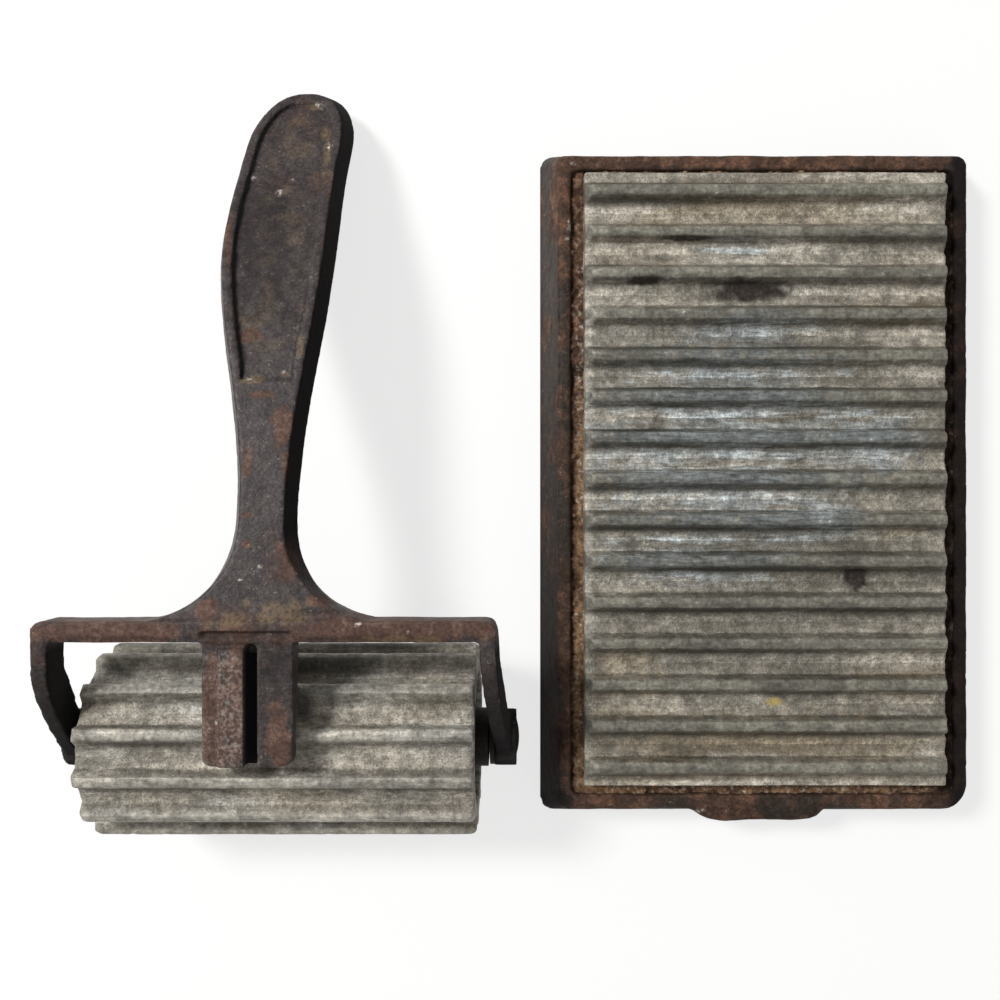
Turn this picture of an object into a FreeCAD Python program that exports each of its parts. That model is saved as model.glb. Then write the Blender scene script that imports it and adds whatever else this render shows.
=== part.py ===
import FreeCAD, Part
import math
import os

# Two-piece hand fluting iron: an iron base with a fluted white-metal plate, and beside it the hand
# piece, lying on its back on the same table. Millimetres, +Z up.
# Origin: the middle of the base's flat underside. +X runs along the flutes, +Y across them,
# towards the end of the base that has no lifting tab.

# Flutes, shared by the plate and the roller so that they mesh
FLUTE_PITCH = 9.07
RIDGE_HEIGHT = 2.6
RIDGE_TOP_WIDTH = 2.2
RIDGE_FOOT_WIDTH = 4.4
RIDGE_CROWN = 0.25
VALLEY_DIP = 0.35

# Base tray
TRAY_WIDTH = 99.7
TRAY_FLOOR = 9.0
WALL_ABOVE_FLOOR = 4.0
WALL_LEAN = 4.1
RIM_WIDTH_SIDES = 2.7
RIM_WIDTH_ENDS = 3.2
FAR_CORNER_RADIUS = 2.5
NEAR_LEFT_CORNER_RADIUS = 2.9
NEAR_RIGHT_CORNER_RADIUS = 5.4
CAVITY_CORNER_RADIUS = 1.6
RIM_ROUNDING = 1.1
RIM_INNER_ROUNDING = 0.5

# Lifting tab on the near edge of the tray, and the hook's way in under it
TAB_WIDTH = 29.5
TAB_REACH = 2.8
TAB_BOW = 0.9
TAB_SHOULDER = 2.4
TAB_THICKNESS = 5.5
TAB_OFFSET = -1.3
HOOK_WAY_WIDTH = 24.0
HOOK_WAY_DEPTH = 4.6

# Fluted plate
RIDGE_COUNT = 15
PLATE_BODY = 6.6
PLATE_DRAFT = 1.0
PLATE_GAP_SIDES = 2.45
PLATE_GAP_FAR = 0.375
PLATE_GAP_NEAR = 1.775
RIDGE_END_SLOPE_LEFT = 1.9
RIDGE_END_SLOPE_RIGHT = 0.7

# Screws that hold the plate from below
SCREW_RADIUS = 2.4
SCREW_HOLE_CLEARANCE = 0.1
SCREW_HEAD_OUTSTAND = 2.0
SCREW_HEAD_DEPTH = 2.2
SCREW_HEAD_RIM = 0.2
SCREW_HEAD_SINK = 0.3
SCREW_SLOT_WIDTH = 1.0
SCREW_SLOT_DEPTH = 1.1
SCREW_BITE = 4.0
SCREW_TIP_GAP = 0.4
SCREW_INSET_X = 12.0
SCREW_INSET_Y = 16.0

# Roller
TOOTH_COUNT = 13
TOOTH_ADDENDUM = 1.4
ROLLER_LENGTH = 79.7
ROLLER_PHASE = 14.2
ROLLER_END_CHAMFER = 0.7
SLEEVE_WALL = 3.9
CORE_CLEARANCE = 0.04
CORE_RECESS = 1.2
HUB_WALL = 3.2

# Axle
AXLE_RADIUS = 3.0
AXLE_RUNNING_CLEARANCE = 0.06
AXLE_EYE_CLEARANCE = 0.04
AXLE_HEAD_OUTSTAND = 0.9
AXLE_HEAD_HEIGHT = 0.6
WASHER_WIDTH = 2.8
WASHER_THICKNESS = 1.0
WASHER_BORE_CLEARANCE = 0.15
ROLLER_FLOAT = 0.8

# Where the hand piece lies: its clear way from the tray, and its axle's place along the tray
HAND_GAP = 4.75
HAND_Y = -55.3

# Fork, in the hand piece's own frame: x from the middle of the fork, y from the axle, z from the table
FORK_END_ROOM = 4.8
ARM_THICKNESS = 3.2
ARM_SPLAY = 2.75
FORK_REACH = 25.85
BAR_ABOVE_AXLE = 24.0
BAR_THICKNESS = 4.1
BAR_CORNER_RADIUS = 2.4
BAR_REBATE_HEIGHT = 1.1
BAR_REBATE_DEPTH = 0.7
FRAME_DEPTH = 8.4
ARM_BEND_START = 23.0
ARM_BACK_BEND_START = 22.0
ARM_FRONT_MIDDLE_Y = 9.7
ARM_FRONT_MIDDLE_RISE = 19.6
ARM_BACK_MIDDLE_Y = 15.1
ARM_BACK_MIDDLE_RISE = 13.7
EYE_WALL = 3.0
EYE_OUTSTAND = 0.7
EYE_LIP = 0.6
EYE_FRONT_ANGLE = 35.0

# Handle: distances are from the top of the cross bar towards the tip, and the drops of its front
# are down from the front of the bar
HANDLE_SHIFT = -1.3
HANDLE_LENGTH = 117.0
FLARE_HALF_WIDTH = 28.0
FLARE_SINK = 0.5
FLARE_SQUARENESS = 2.35
NECK_AT = 21.2
NECK_HALF_WIDTH = 6.15
SHOULDER_AT = 48.2
GRIP_LENGTH = 20.0
GRIP_HALF_WIDTH = 12.35
GRIP_END_HALF_WIDTH = 12.0
TIP_LENGTH = 16.8
TIP_SQUARENESS = 2.25
TIP_END_ANGLE = 87.0
HANDLE_LEAN = -1.1
TIP_SKEW = 3.6
TIP_SKEW_RUN = 56.8
NECK_DROP = 4.1
SHOULDER_DROP = 9.4
GRIP_FRONT = 27.4
GRIP_END_FRONT = 17.6
TIP_FRONT = 10.6
NECK_THICKNESS = 8.6
GRIP_THICKNESS = 9.6
GRIP_END_THICKNESS = 9.9
TIP_THICKNESS = 11.2
SIDE_BEVEL = 1.8
BEVEL_RUN = 14.0
FLARE_STEPS = 12
WAIST_STEPS = 14
GRIP_STEPS = 4
TIP_STEPS = 14

# Sunk panel in the front of the handle
PANEL_BORDER = 2.1
PANEL_DEPTH = 0.9
PANEL_START = 47.2
PANEL_CORNER = 1.0

# Lifter in front of the roller, with a blind slot
LIFTER_WIDTH = 17.6
LIFTER_SHIFT = -3.35
LIFTER_TIP_ABOVE_AXLE = 0.1
LIFTER_SINK_ABOVE_BAR = 2.3
LIFTER_FRONT_STEP = 1.2
LIFTER_TIP_CLEARANCE = 1.3
LIFTER_ROOT_DEPTH = 7.6
LIFTER_CORNER_RADIUS = 1.6
LIFTER_SLOT_WIDTH = 2.4
LIFTER_SLOT_OFFSET = 0.7
LIFTER_SLOT_LENGTH = 23.6
LIFTER_SLOT_DEPTH = 2.4
LIFTER_RIB_WIDTH = 5.4
LIFTER_RIB_HEIGHT = 0.9
LIFTER_RIB_LENGTH = 22.6
LIFTER_RIB_BEVEL = 0.7

# How far a cutting shape runs past the face that it cuts
CUT_PAST = 1.0
FAR_BEYOND = 200.0

# Worked out from the sizes above
PITCH_RADIUS = FLUTE_PITCH * TOOTH_COUNT / (2 * math.pi)
TIP_RADIUS = PITCH_RADIUS + TOOTH_ADDENDUM
ROOT_RADIUS = TIP_RADIUS - RIDGE_HEIGHT
CORE_RADIUS = ROOT_RADIUS - SLEEVE_WALL
AXLE_Z = TIP_RADIUS
AXLE_HEAD_RADIUS = AXLE_RADIUS + AXLE_HEAD_OUTSTAND
WASHER_RADIUS = AXLE_RADIUS + WASHER_WIDTH
HUB_RADIUS = AXLE_RADIUS + HUB_WALL
EYE_RADIUS = AXLE_RADIUS + EYE_WALL
FORK_WIDTH = ROLLER_LENGTH + 2 * FORK_END_ROOM
FRAME_FRONT = AXLE_Z + FORK_REACH
FRAME_BACK = FRAME_FRONT - FRAME_DEPTH
BAR_TOP = BAR_ABOVE_AXLE + BAR_THICKNESS
EYE_HALF_THICKNESS = ARM_THICKNESS / 2 + EYE_OUTSTAND
EYE_MIDDLE = FORK_WIDTH / 2 + ARM_SPLAY - ARM_THICKNESS / 2
EYE_INNER = EYE_MIDDLE - EYE_HALF_THICKNESS
EYE_OUTER = EYE_MIDDLE + EYE_HALF_THICKNESS
HUB_END = EYE_INNER - WASHER_THICKNESS - ROLLER_FLOAT / 2
HAND_X = -(TRAY_WIDTH / 2 + HAND_GAP + EYE_OUTER + AXLE_HEAD_HEIGHT)
GRIP_END_AT = HANDLE_LENGTH - TIP_LENGTH
GRIP_AT = GRIP_END_AT - GRIP_LENGTH
TRAY_HEIGHT = TRAY_FLOOR + WALL_ABOVE_FLOOR
CAVITY_WIDTH = TRAY_WIDTH - 2 * (WALL_LEAN + RIM_WIDTH_SIDES)
PLATE_WIDTH = CAVITY_WIDTH - 2 * (PLATE_GAP_SIDES + PLATE_DRAFT)
PLATE_LENGTH = RIDGE_COUNT * FLUTE_PITCH
CAVITY_LENGTH = PLATE_LENGTH + 2 * PLATE_DRAFT + PLATE_GAP_FAR + PLATE_GAP_NEAR
TRAY_LENGTH = CAVITY_LENGTH + 2 * (WALL_LEAN + RIM_WIDTH_ENDS)
PLATE_SHIFT_Y = (PLATE_GAP_NEAR - PLATE_GAP_FAR) / 2
VALLEY_Z = TRAY_FLOOR + PLATE_BODY


def vec(x, y, z):
    return FreeCAD.Vector(x, y, z)


def line(a, b):
    return Part.LineSegment(a, b).toShape()


def arc(a, b, c):
    return Part.Arc(a, b, c).toShape()


def smooth_curve(points, start_tangent, end_tangent):
    """A smooth curve through the points, with its directions at both ends given."""
    curve = Part.BSplineCurve()
    curve.interpolate(Points=points, InitialTangent=start_tangent, FinalTangent=end_tangent)
    return curve


def prism(edges, direction):
    """The solid swept by a closed flat outline along one direction."""
    return Part.Face(Part.Wire(Part.__sortEdges__(edges))).extrude(direction)


def polygon_prism(points, direction):
    return Part.Face(Part.makePolygon(points + points[:1])).extrude(direction)


def block(x0, x1, y0, y1, z0, z1):
    return Part.makeBox(x1 - x0, y1 - y0, z1 - z0, vec(x0, y0, z0))


def rounded_rectangle(half_x, near_y, far_y, near_left_radius, near_right_radius, far_radius, z):
    """Outline of a tray wall: the near left, the near right and the far corners have their own radius."""
    bend = math.sqrt(0.5)
    corners = [(1, near_y, near_right_radius, -1), (1, far_y, far_radius, 1),
               (-1, far_y, far_radius, 1), (-1, near_y, near_left_radius, -1)]
    edges = []
    joints = []
    for side, y, radius, way in corners:
        centre = vec(side * (half_x - radius), y - way * radius, z)
        on_side = vec(side * half_x, centre.y, z)
        on_end = vec(centre.x, y, z)
        middle = centre + vec(side * radius * bend, way * radius * bend, 0)
        first_on_end = side * way < 0
        start, end = (on_end, on_side) if first_on_end else (on_side, on_end)
        edges.append(arc(start, middle, end))
        joints.append((start, end))
    for index, (start, end) in enumerate(joints):
        edges.append(line(end, joints[(index + 1) % len(joints)][0]))
    return Part.Wire(Part.__sortEdges__(edges))


def edges_at_height(shape, z, keep):
    """Edges that lie flat at one height and whose middle passes a test."""
    found = []
    for edge in shape.Edges:
        box = edge.BoundBox
        if abs(box.ZMin - z) < 1e-4 and abs(box.ZMax - z) < 1e-4 and keep(edge.CenterOfMass):
            found.append(edge)
    return found


def base_tray():
    """Iron tray: solid heat-holding floor, sloping walls, rim, and the tab that the lifter grips."""
    half_foot = TRAY_WIDTH / 2
    half_length = TRAY_LENGTH / 2
    foot = rounded_rectangle(half_foot, -half_length, half_length,
                             NEAR_LEFT_CORNER_RADIUS, NEAR_RIGHT_CORNER_RADIUS, FAR_CORNER_RADIUS, 0)
    rim = rounded_rectangle(half_foot - WALL_LEAN, -half_length + WALL_LEAN, half_length - WALL_LEAN,
                            NEAR_LEFT_CORNER_RADIUS, NEAR_RIGHT_CORNER_RADIUS, FAR_CORNER_RADIUS,
                            TRAY_HEIGHT)
    tray = Part.makeLoft([foot, rim], True, True)
    near_rim = -half_length + WALL_LEAN
    tab = lifting_tab(near_rim)
    hook_way = block(TAB_OFFSET - HOOK_WAY_WIDTH / 2, TAB_OFFSET + HOOK_WAY_WIDTH / 2,
                     -half_length - FAR_BEYOND, near_rim + HOOK_WAY_DEPTH - TAB_REACH,
                     -FAR_BEYOND, TRAY_HEIGHT - TAB_THICKNESS)
    tray = tray.fuse(tab).cut(hook_way)
    cavity_half = CAVITY_WIDTH / 2
    cavity_end = CAVITY_LENGTH / 2
    cavity_outline = rounded_rectangle(cavity_half, -cavity_end, cavity_end, CAVITY_CORNER_RADIUS,
                                       CAVITY_CORNER_RADIUS, CAVITY_CORNER_RADIUS, TRAY_FLOOR)
    cavity = Part.Face(cavity_outline).extrude(vec(0, 0, TRAY_HEIGHT))
    tray = tray.cut(cavity).removeSplitter()

    def inside(point):
        within_sides = abs(point.x) < cavity_half + RIM_WIDTH_SIDES / 4
        return within_sides and abs(point.y) < cavity_end + RIM_WIDTH_ENDS / 4

    outer = edges_at_height(tray, TRAY_HEIGHT, lambda point: not inside(point))
    tray = tray.makeFillet(RIM_ROUNDING, outer)
    inner = edges_at_height(tray, TRAY_HEIGHT, inside)
    tray = tray.makeFillet(RIM_INNER_ROUNDING, inner)
    for x, y in screw_places():
        tray = tray.cut(screw_solid(x, y, SCREW_HOLE_CLEARANCE, 0))
    return tray


def lifting_tab(near_rim):
    """A bowed lip at rim height with soft shoulders, which the lifter takes hold of."""
    half = TAB_WIDTH / 2
    top = TRAY_HEIGHT
    edge = near_rim - TAB_REACH
    inner = near_rim + RIM_WIDTH_ENDS / 2
    left = vec(TAB_OFFSET - half - TAB_SHOULDER, near_rim + TAB_BOW, top)
    right = vec(TAB_OFFSET + half + TAB_SHOULDER / 2, near_rim + TAB_BOW, top)
    bow = smooth_curve([left, vec(TAB_OFFSET - half + TAB_SHOULDER, edge + TAB_BOW, top),
                        vec(TAB_OFFSET, edge, top),
                        vec(TAB_OFFSET + half - TAB_SHOULDER, edge + TAB_BOW / 2, top), right],
                       vec(1, -0.4, 0), vec(0.6, 1, 0))
    back_left = vec(left.x, inner, top)
    back_right = vec(right.x, inner, top)
    outline = [bow.toShape(), line(right, back_right), line(back_right, back_left), line(back_left, left)]
    return prism(outline, vec(0, 0, -TAB_THICKNESS))


def screw_places():
    """The four screw positions, in from the plate's edges."""
    half_x = PLATE_WIDTH / 2 - SCREW_INSET_X
    half_y = PLATE_LENGTH / 2 - SCREW_INSET_Y
    return [(side * half_x, PLATE_SHIFT_Y + end * half_y) for end in (1, -1) for side in (-1, 1)]


def screw_solid(x, y, clearance, extra_length):
    """Countersunk head and shank, grown by a clearance when it is used to cut its hole."""
    shank = SCREW_RADIUS + clearance
    head = SCREW_RADIUS + SCREW_HEAD_OUTSTAND + clearance
    bottom = SCREW_HEAD_SINK if clearance == 0 else 0
    cone_top = SCREW_HEAD_SINK + SCREW_HEAD_DEPTH
    top = TRAY_FLOOR + SCREW_BITE + extra_length
    profile = [vec(0, 0, bottom), vec(head, 0, bottom), vec(head, 0, SCREW_HEAD_SINK + SCREW_HEAD_RIM),
               vec(shank, 0, cone_top), vec(shank, 0, top), vec(0, 0, top)]
    solid = Part.Face(Part.makePolygon(profile + profile[:1])).revolve(vec(0, 0, 0), vec(0, 0, 1), 360)
    return solid.translated(vec(x, y, 0))


def plate_screw(x, y):
    """One slotted countersunk screw, head down."""
    screw = screw_solid(x, y, 0, 0)
    slot = block(x - FAR_BEYOND, x + FAR_BEYOND, y - SCREW_SLOT_WIDTH / 2, y + SCREW_SLOT_WIDTH / 2,
                 -FAR_BEYOND, SCREW_HEAD_SINK + SCREW_SLOT_DEPTH)
    return screw.cut(slot)


def ridge_edges(place, start, end, end_flats):
    """Edges of a row of flutes; place() turns (distance along the row, height) into a point."""
    half_top = RIDGE_TOP_WIDTH / 2
    half_foot = RIDGE_FOOT_WIDTH / 2
    crown_foot = RIDGE_HEIGHT - RIDGE_CROWN
    edges = []
    last_foot = None
    for index in range(start, end):
        middle = (index + 0.5) * FLUTE_PITCH
        left_foot = place(middle - half_foot, 0)
        left_top = place(middle - half_top, crown_foot)
        right_top = place(middle + half_top, crown_foot)
        right_foot = place(middle + half_foot, 0)
        if last_foot is not None:
            edges.append(arc(last_foot, place(index * FLUTE_PITCH, -VALLEY_DIP), left_foot))
        elif end_flats:
            edges.append(line(place(index * FLUTE_PITCH, 0), left_foot))
        edges += [line(left_foot, left_top),
                  arc(left_top, place(middle, RIDGE_HEIGHT), right_top),
                  line(right_top, right_foot)]
        last_foot = right_foot
    if end_flats:
        edges.append(line(last_foot, place(end * FLUTE_PITCH, 0)))
    else:
        first_foot = place((start + 0.5) * FLUTE_PITCH - half_foot, 0)
        edges.append(arc(last_foot, place(end * FLUTE_PITCH, -VALLEY_DIP), first_foot))
    return edges


def fluted_plate():
    """White-metal plate: ridges on a solid body with drafted sides and sloping ridge ends."""
    near = PLATE_SHIFT_Y - PLATE_LENGTH / 2
    far = PLATE_SHIFT_Y + PLATE_LENGTH / 2
    half_top = PLATE_WIDTH / 2
    half_base = half_top + PLATE_DRAFT
    edges = ridge_edges(lambda along, height: vec(-half_base, near + along, VALLEY_Z + height),
                        0, RIDGE_COUNT, True)
    corners = [vec(-half_base, far, VALLEY_Z), vec(-half_base, far + PLATE_DRAFT, TRAY_FLOOR),
               vec(-half_base, near - PLATE_DRAFT, TRAY_FLOOR), vec(-half_base, near, VALLEY_Z)]
    edges += [line(corners[0], corners[1]), line(corners[1], corners[2]), line(corners[2], corners[3])]
    plate = prism(edges, vec(2 * half_base, 0, 0))
    for side, slope in ((-1, RIDGE_END_SLOPE_LEFT), (1, RIDGE_END_SLOPE_RIGHT)):
        rise = FAR_BEYOND / RIDGE_HEIGHT
        outside = [vec(side * half_base, -FAR_BEYOND, TRAY_FLOOR),
                   vec(side * half_top, -FAR_BEYOND, VALLEY_Z),
                   vec(side * (half_top - slope * 2), -FAR_BEYOND, VALLEY_Z + 2 * RIDGE_HEIGHT),
                   vec(side * (half_base + rise), -FAR_BEYOND, VALLEY_Z + 2 * RIDGE_HEIGHT),
                   vec(side * (half_base + rise), -FAR_BEYOND, TRAY_FLOOR)]
        plate = plate.cut(polygon_prism(outside, vec(0, 2 * FAR_BEYOND, 0)))
    for x, y in screw_places():
        plate = plate.cut(screw_solid(x, y, SCREW_HOLE_CLEARANCE, SCREW_TIP_GAP))
    return plate


def axle_cylinder(radius, x0, x1):
    """A cylinder along the axle, in the hand piece's own frame."""
    return Part.makeCylinder(radius, x1 - x0, vec(x0, 0, AXLE_Z), vec(1, 0, 0))


def roller_sleeve():
    """White-metal sleeve whose teeth match the plate's flutes."""
    half = ROLLER_LENGTH / 2
    turn = math.radians(ROLLER_PHASE) - math.pi / TOOTH_COUNT

    def place(along, height):
        angle = turn + along * 2 * math.pi / (TOOTH_COUNT * FLUTE_PITCH)
        radius = ROOT_RADIUS + height
        return vec(-half, radius * math.sin(angle), AXLE_Z + radius * math.cos(angle))

    sleeve = prism(ridge_edges(place, 0, TOOTH_COUNT, False), vec(ROLLER_LENGTH, 0, 0))
    end_radius = TIP_RADIUS - ROLLER_END_CHAMFER
    wide_radius = TIP_RADIUS + CUT_PAST
    cone_length = ROLLER_END_CHAMFER + CUT_PAST
    chamfered = axle_cylinder(wide_radius, cone_length - half, half - cone_length)
    for side in (-1, 1):
        cone = Part.makeCone(wide_radius, end_radius, cone_length,
                             vec(side * (half - cone_length), 0, AXLE_Z), vec(side, 0, 0))
        chamfered = chamfered.fuse(cone)
    sleeve = sleeve.common(chamfered)
    return sleeve.cut(axle_cylinder(CORE_RADIUS, -half - CUT_PAST, half + CUT_PAST))


def roller_core():
    """Iron core of the roller with a short hub at each end, bored to run on the axle."""
    half = ROLLER_LENGTH / 2 - CORE_RECESS
    core = axle_cylinder(CORE_RADIUS - CORE_CLEARANCE, -half, half)
    core = core.fuse(axle_cylinder(HUB_RADIUS, -HUB_END, HUB_END)).removeSplitter()
    bore_end = HUB_END + CUT_PAST
    return core.cut(axle_cylinder(AXLE_RADIUS + AXLE_RUNNING_CLEARANCE, -bore_end, bore_end))


def axle_pin():
    """Steel pin through both eyes, its ends riveted over into low domes."""
    pin = axle_cylinder(AXLE_RADIUS, -EYE_OUTER, EYE_OUTER)
    dome_radius = (AXLE_HEAD_RADIUS ** 2 + AXLE_HEAD_HEIGHT ** 2) / (2 * AXLE_HEAD_HEIGHT)
    for side in (-1, 1):
        ball_x = side * (EYE_OUTER + AXLE_HEAD_HEIGHT - dome_radius)
        ball = Part.makeSphere(dome_radius, vec(ball_x, 0, AXLE_Z))
        ends = sorted((side * EYE_OUTER, side * (EYE_OUTER + AXLE_HEAD_HEIGHT)))
        pin = pin.fuse(ball.common(axle_cylinder(AXLE_HEAD_RADIUS, ends[0], ends[1])))
    return pin.removeSplitter()


def axle_washer(side):
    """Washer between the roller's hub and the eye on one side."""
    faces = sorted((side * EYE_INNER, side * (EYE_INNER - WASHER_THICKNESS)))
    washer = axle_cylinder(WASHER_RADIUS, faces[0], faces[1])
    bore = axle_cylinder(AXLE_RADIUS + WASHER_BORE_CLEARANCE, faces[0] - CUT_PAST, faces[1] + CUT_PAST)
    return washer.cut(bore)


def fork_arm(side):
    """One curved flat arm: it leans outwards and ends in an eye square to the axle."""
    outer = side * FORK_WIDTH / 2
    x = outer - side * ARM_THICKNESS
    top = BAR_TOP - BAR_CORNER_RADIUS
    front_angle = math.radians(EYE_FRONT_ANGLE)
    end_radius = EYE_RADIUS - EYE_LIP
    eye_front = vec(x, -end_radius * math.cos(front_angle), AXLE_Z + end_radius * math.sin(front_angle))
    eye_back = vec(x, end_radius, AXLE_Z)
    eye_bottom = vec(x, 0, AXLE_Z - end_radius)
    front_start = vec(x, ARM_BEND_START, FRAME_FRONT)
    back_end = vec(x, ARM_BACK_BEND_START, FRAME_BACK)
    front = smooth_curve([front_start, vec(x, ARM_FRONT_MIDDLE_Y, AXLE_Z + ARM_FRONT_MIDDLE_RISE), eye_front],
                         vec(0, -1, 0), vec(0, -math.sin(front_angle), -math.cos(front_angle)))
    back = smooth_curve([eye_back, vec(x, ARM_BACK_MIDDLE_Y, AXLE_Z + ARM_BACK_MIDDLE_RISE), back_end],
                        vec(0, 0, 1), vec(0, 1, 0))
    outline = [line(vec(x, top, FRAME_FRONT), front_start), front.toShape(),
               arc(eye_front, eye_bottom, eye_back), back.toShape(),
               line(back_end, vec(x, top, FRAME_BACK)),
               line(vec(x, top, FRAME_BACK), vec(x, top, FRAME_FRONT))]
    arm = prism(outline, vec(side * ARM_THICKNESS, 0, 0))
    hinge = vec(outer, BAR_ABOVE_AXLE, (FRAME_FRONT + FRAME_BACK) / 2)
    run = vec(0, -hinge.y, AXLE_Z - hinge.z)
    lean = math.degrees(math.atan2(ARM_SPLAY, run.Length))
    arm.rotate(hinge, run.cross(vec(side, 0, 0)), lean)
    faces = sorted((side * EYE_INNER, side * EYE_OUTER))
    return arm.fuse(axle_cylinder(EYE_RADIUS, faces[0], faces[1]))


def cross_bar():
    """Flat bar that joins the two arms, with a small rebate along its lower front edge."""
    half = FORK_WIDTH / 2
    bar = block(-half, half, BAR_ABOVE_AXLE, BAR_TOP, FRAME_BACK, FRAME_FRONT)
    corners = [edge for edge in bar.Edges
               if edge.BoundBox.ZLength > FRAME_DEPTH / 2 and abs(edge.CenterOfMass.y - BAR_TOP) < 1e-6]
    bar = bar.makeFillet(BAR_CORNER_RADIUS, corners)
    rebate = block(-half - CUT_PAST, half + CUT_PAST,
                   BAR_ABOVE_AXLE - CUT_PAST, BAR_ABOVE_AXLE + BAR_REBATE_HEIGHT,
                   FRAME_FRONT - BAR_REBATE_DEPTH, FRAME_FRONT + CUT_PAST)
    return bar.cut(rebate)


def handle_profile(heights):
    """Side view curve of the handle through heights at the bar, neck, shoulder, grip and tip."""
    places = [-BAR_THICKNESS, NECK_AT, SHOULDER_AT, GRIP_AT, GRIP_END_AT, HANDLE_LENGTH]
    curve = Part.BSplineCurve()
    curve.interpolate([vec(0, BAR_TOP + place, height) for place, height in zip(places, heights)])
    return curve


def height_on(curve, y):
    """Height of a side view curve where it passes one y."""
    low = curve.FirstParameter
    high = curve.LastParameter
    for step in range(40):
        middle = (low + high) / 2
        if curve.value(middle).y < y:
            low = middle
        else:
            high = middle
    return curve.value(low).z


def handle_profiles():
    """Side view curves of the handle's front and back."""
    fronts = [FRAME_FRONT, FRAME_FRONT - NECK_DROP, FRAME_FRONT - SHOULDER_DROP,
              GRIP_FRONT, GRIP_END_FRONT, TIP_FRONT]
    depths = [FRAME_DEPTH, NECK_THICKNESS, (NECK_THICKNESS + GRIP_THICKNESS) / 2, GRIP_THICKNESS,
              GRIP_END_THICKNESS, TIP_THICKNESS]
    backs = [front - depth for front, depth in zip(fronts, depths)]
    return handle_profile(fronts), handle_profile(backs)


def eased(start, end, share):
    """A value that leaves the start and reaches the end smoothly as share runs from 0 to 1."""
    return start + (end - start) * (1 - math.cos(math.pi * share)) / 2


def half_plan():
    """Widest outline of the handle's right half, seen from the front, before its tip is skewed."""
    points = []
    power = 2 / FLARE_SQUARENESS
    for step in range(FLARE_STEPS):
        turn = math.radians(90 * (1 - step / FLARE_STEPS))
        half = FLARE_HALF_WIDTH - (FLARE_HALF_WIDTH - NECK_HALF_WIDTH) * math.cos(turn) ** power
        along = NECK_AT - (NECK_AT + FLARE_SINK) * math.sin(turn) ** power
        points.append(vec(half, BAR_TOP + along, 0))
    for step in range(WAIST_STEPS):
        share = step / WAIST_STEPS
        points.append(vec(eased(NECK_HALF_WIDTH, GRIP_HALF_WIDTH, share),
                          BAR_TOP + NECK_AT + (GRIP_AT - NECK_AT) * share, 0))
    for step in range(GRIP_STEPS):
        share = step / GRIP_STEPS
        points.append(vec(eased(GRIP_HALF_WIDTH, GRIP_END_HALF_WIDTH, share),
                          BAR_TOP + GRIP_AT + (GRIP_END_AT - GRIP_AT) * share, 0))
    power = 2 / TIP_SQUARENESS
    for step in range(TIP_STEPS + 1):
        turn = math.radians(TIP_END_ANGLE * step / TIP_STEPS)
        points.append(vec(GRIP_END_HALF_WIDTH * math.cos(turn) ** power,
                          BAR_TOP + GRIP_END_AT + TIP_LENGTH * math.sin(turn) ** power, 0))
    return points


def plan_points(inset, run_out):
    """Points along the right half of the plan, moved inwards; run_out fades the move at the bar."""
    plan = half_plan()
    points = []
    for index, here in enumerate(plan):
        before = plan[max(index - 1, 0)]
        after = plan[min(index + 1, len(plan) - 1)]
        along = (after - before).normalize()
        if index == len(plan) - 1:
            along = vec(-1, 0, 0)
        amount = inset
        if run_out:
            amount = inset * min(1.0, max(0.0, here.y - plan[0].y) / BEVEL_RUN)
        moved = here + vec(-along.y, along.x, 0) * amount
        points.append(moved)
    return points


def skewed(x, y):
    """Sideways place of a plan point: the handle leans a little one way and its tip the other."""
    along = y - BAR_TOP
    lean = min(1.0, max(0.0, (along - NECK_AT) / (GRIP_AT - NECK_AT)))
    share = max(0.0, 1 - (HANDLE_LENGTH - along) / TIP_SKEW_RUN)
    return x + HANDLE_SHIFT + eased(0, HANDLE_LEAN, lean) + TIP_SKEW * share ** 3


def raised(points, profile, side):
    """Lifts plan points onto a side view curve; side is 1 for the right half and -1 for the left."""
    return [vec(skewed(side * point.x, point.y), point.y, height_on(profile, point.y)) for point in points]


def through(points):
    """A smooth edge through points that all such edges pass at the same parameters."""
    curve = Part.BSplineCurve()
    curve.interpolate(Points=points, Parameters=[index / (len(points) - 1) for index in range(len(points))])
    return curve.toShape()


def handle_body():
    """Solid handle: flat front and back, and sides that bevel out to a line half-way through."""
    front, back = handle_profiles()
    widest = plan_points(0, False)
    inner = plan_points(SIDE_BEVEL, True)
    edges = []
    for side in (1, -1):
        front_points = raised(inner, front, side)
        back_points = raised(inner, back, side)
        middle_points = []
        for wide, fore, aft in zip(widest, front_points, back_points):
            height = (height_on(front, wide.y) + height_on(back, wide.y)) / 2
            middle_points.append(vec(skewed(side * wide.x, wide.y), wide.y, height))
        edges.append([through(front_points), through(middle_points), through(back_points)])
    right, left = edges
    faces = [Part.makeRuledSurface(left[0], right[0]), Part.makeRuledSurface(left[2], right[2])]
    for front_edge, middle_edge, back_edge in edges:
        faces.append(Part.makeRuledSurface(front_edge, middle_edge))
        faces.append(Part.makeRuledSurface(middle_edge, back_edge))
    starts = [edge.valueAt(edge.FirstParameter) for edge in (right[0], right[1], right[2],
                                                             left[2], left[1], left[0])]
    faces.append(Part.Face(Part.makePolygon(starts + starts[:1])))
    for upper, lower in ((0, 1), (1, 2)):
        tips = [edge.valueAt(edge.LastParameter) for edge in (right[upper], right[lower],
                                                              left[lower], left[upper])]
        faces.append(Part.Face(Part.makePolygon(tips + tips[:1])))
    shell = Part.Shell(faces)
    shell.sewShape()
    solid = Part.Solid(shell)
    if solid.Volume < 0:
        solid.reverse()
    return solid


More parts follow.
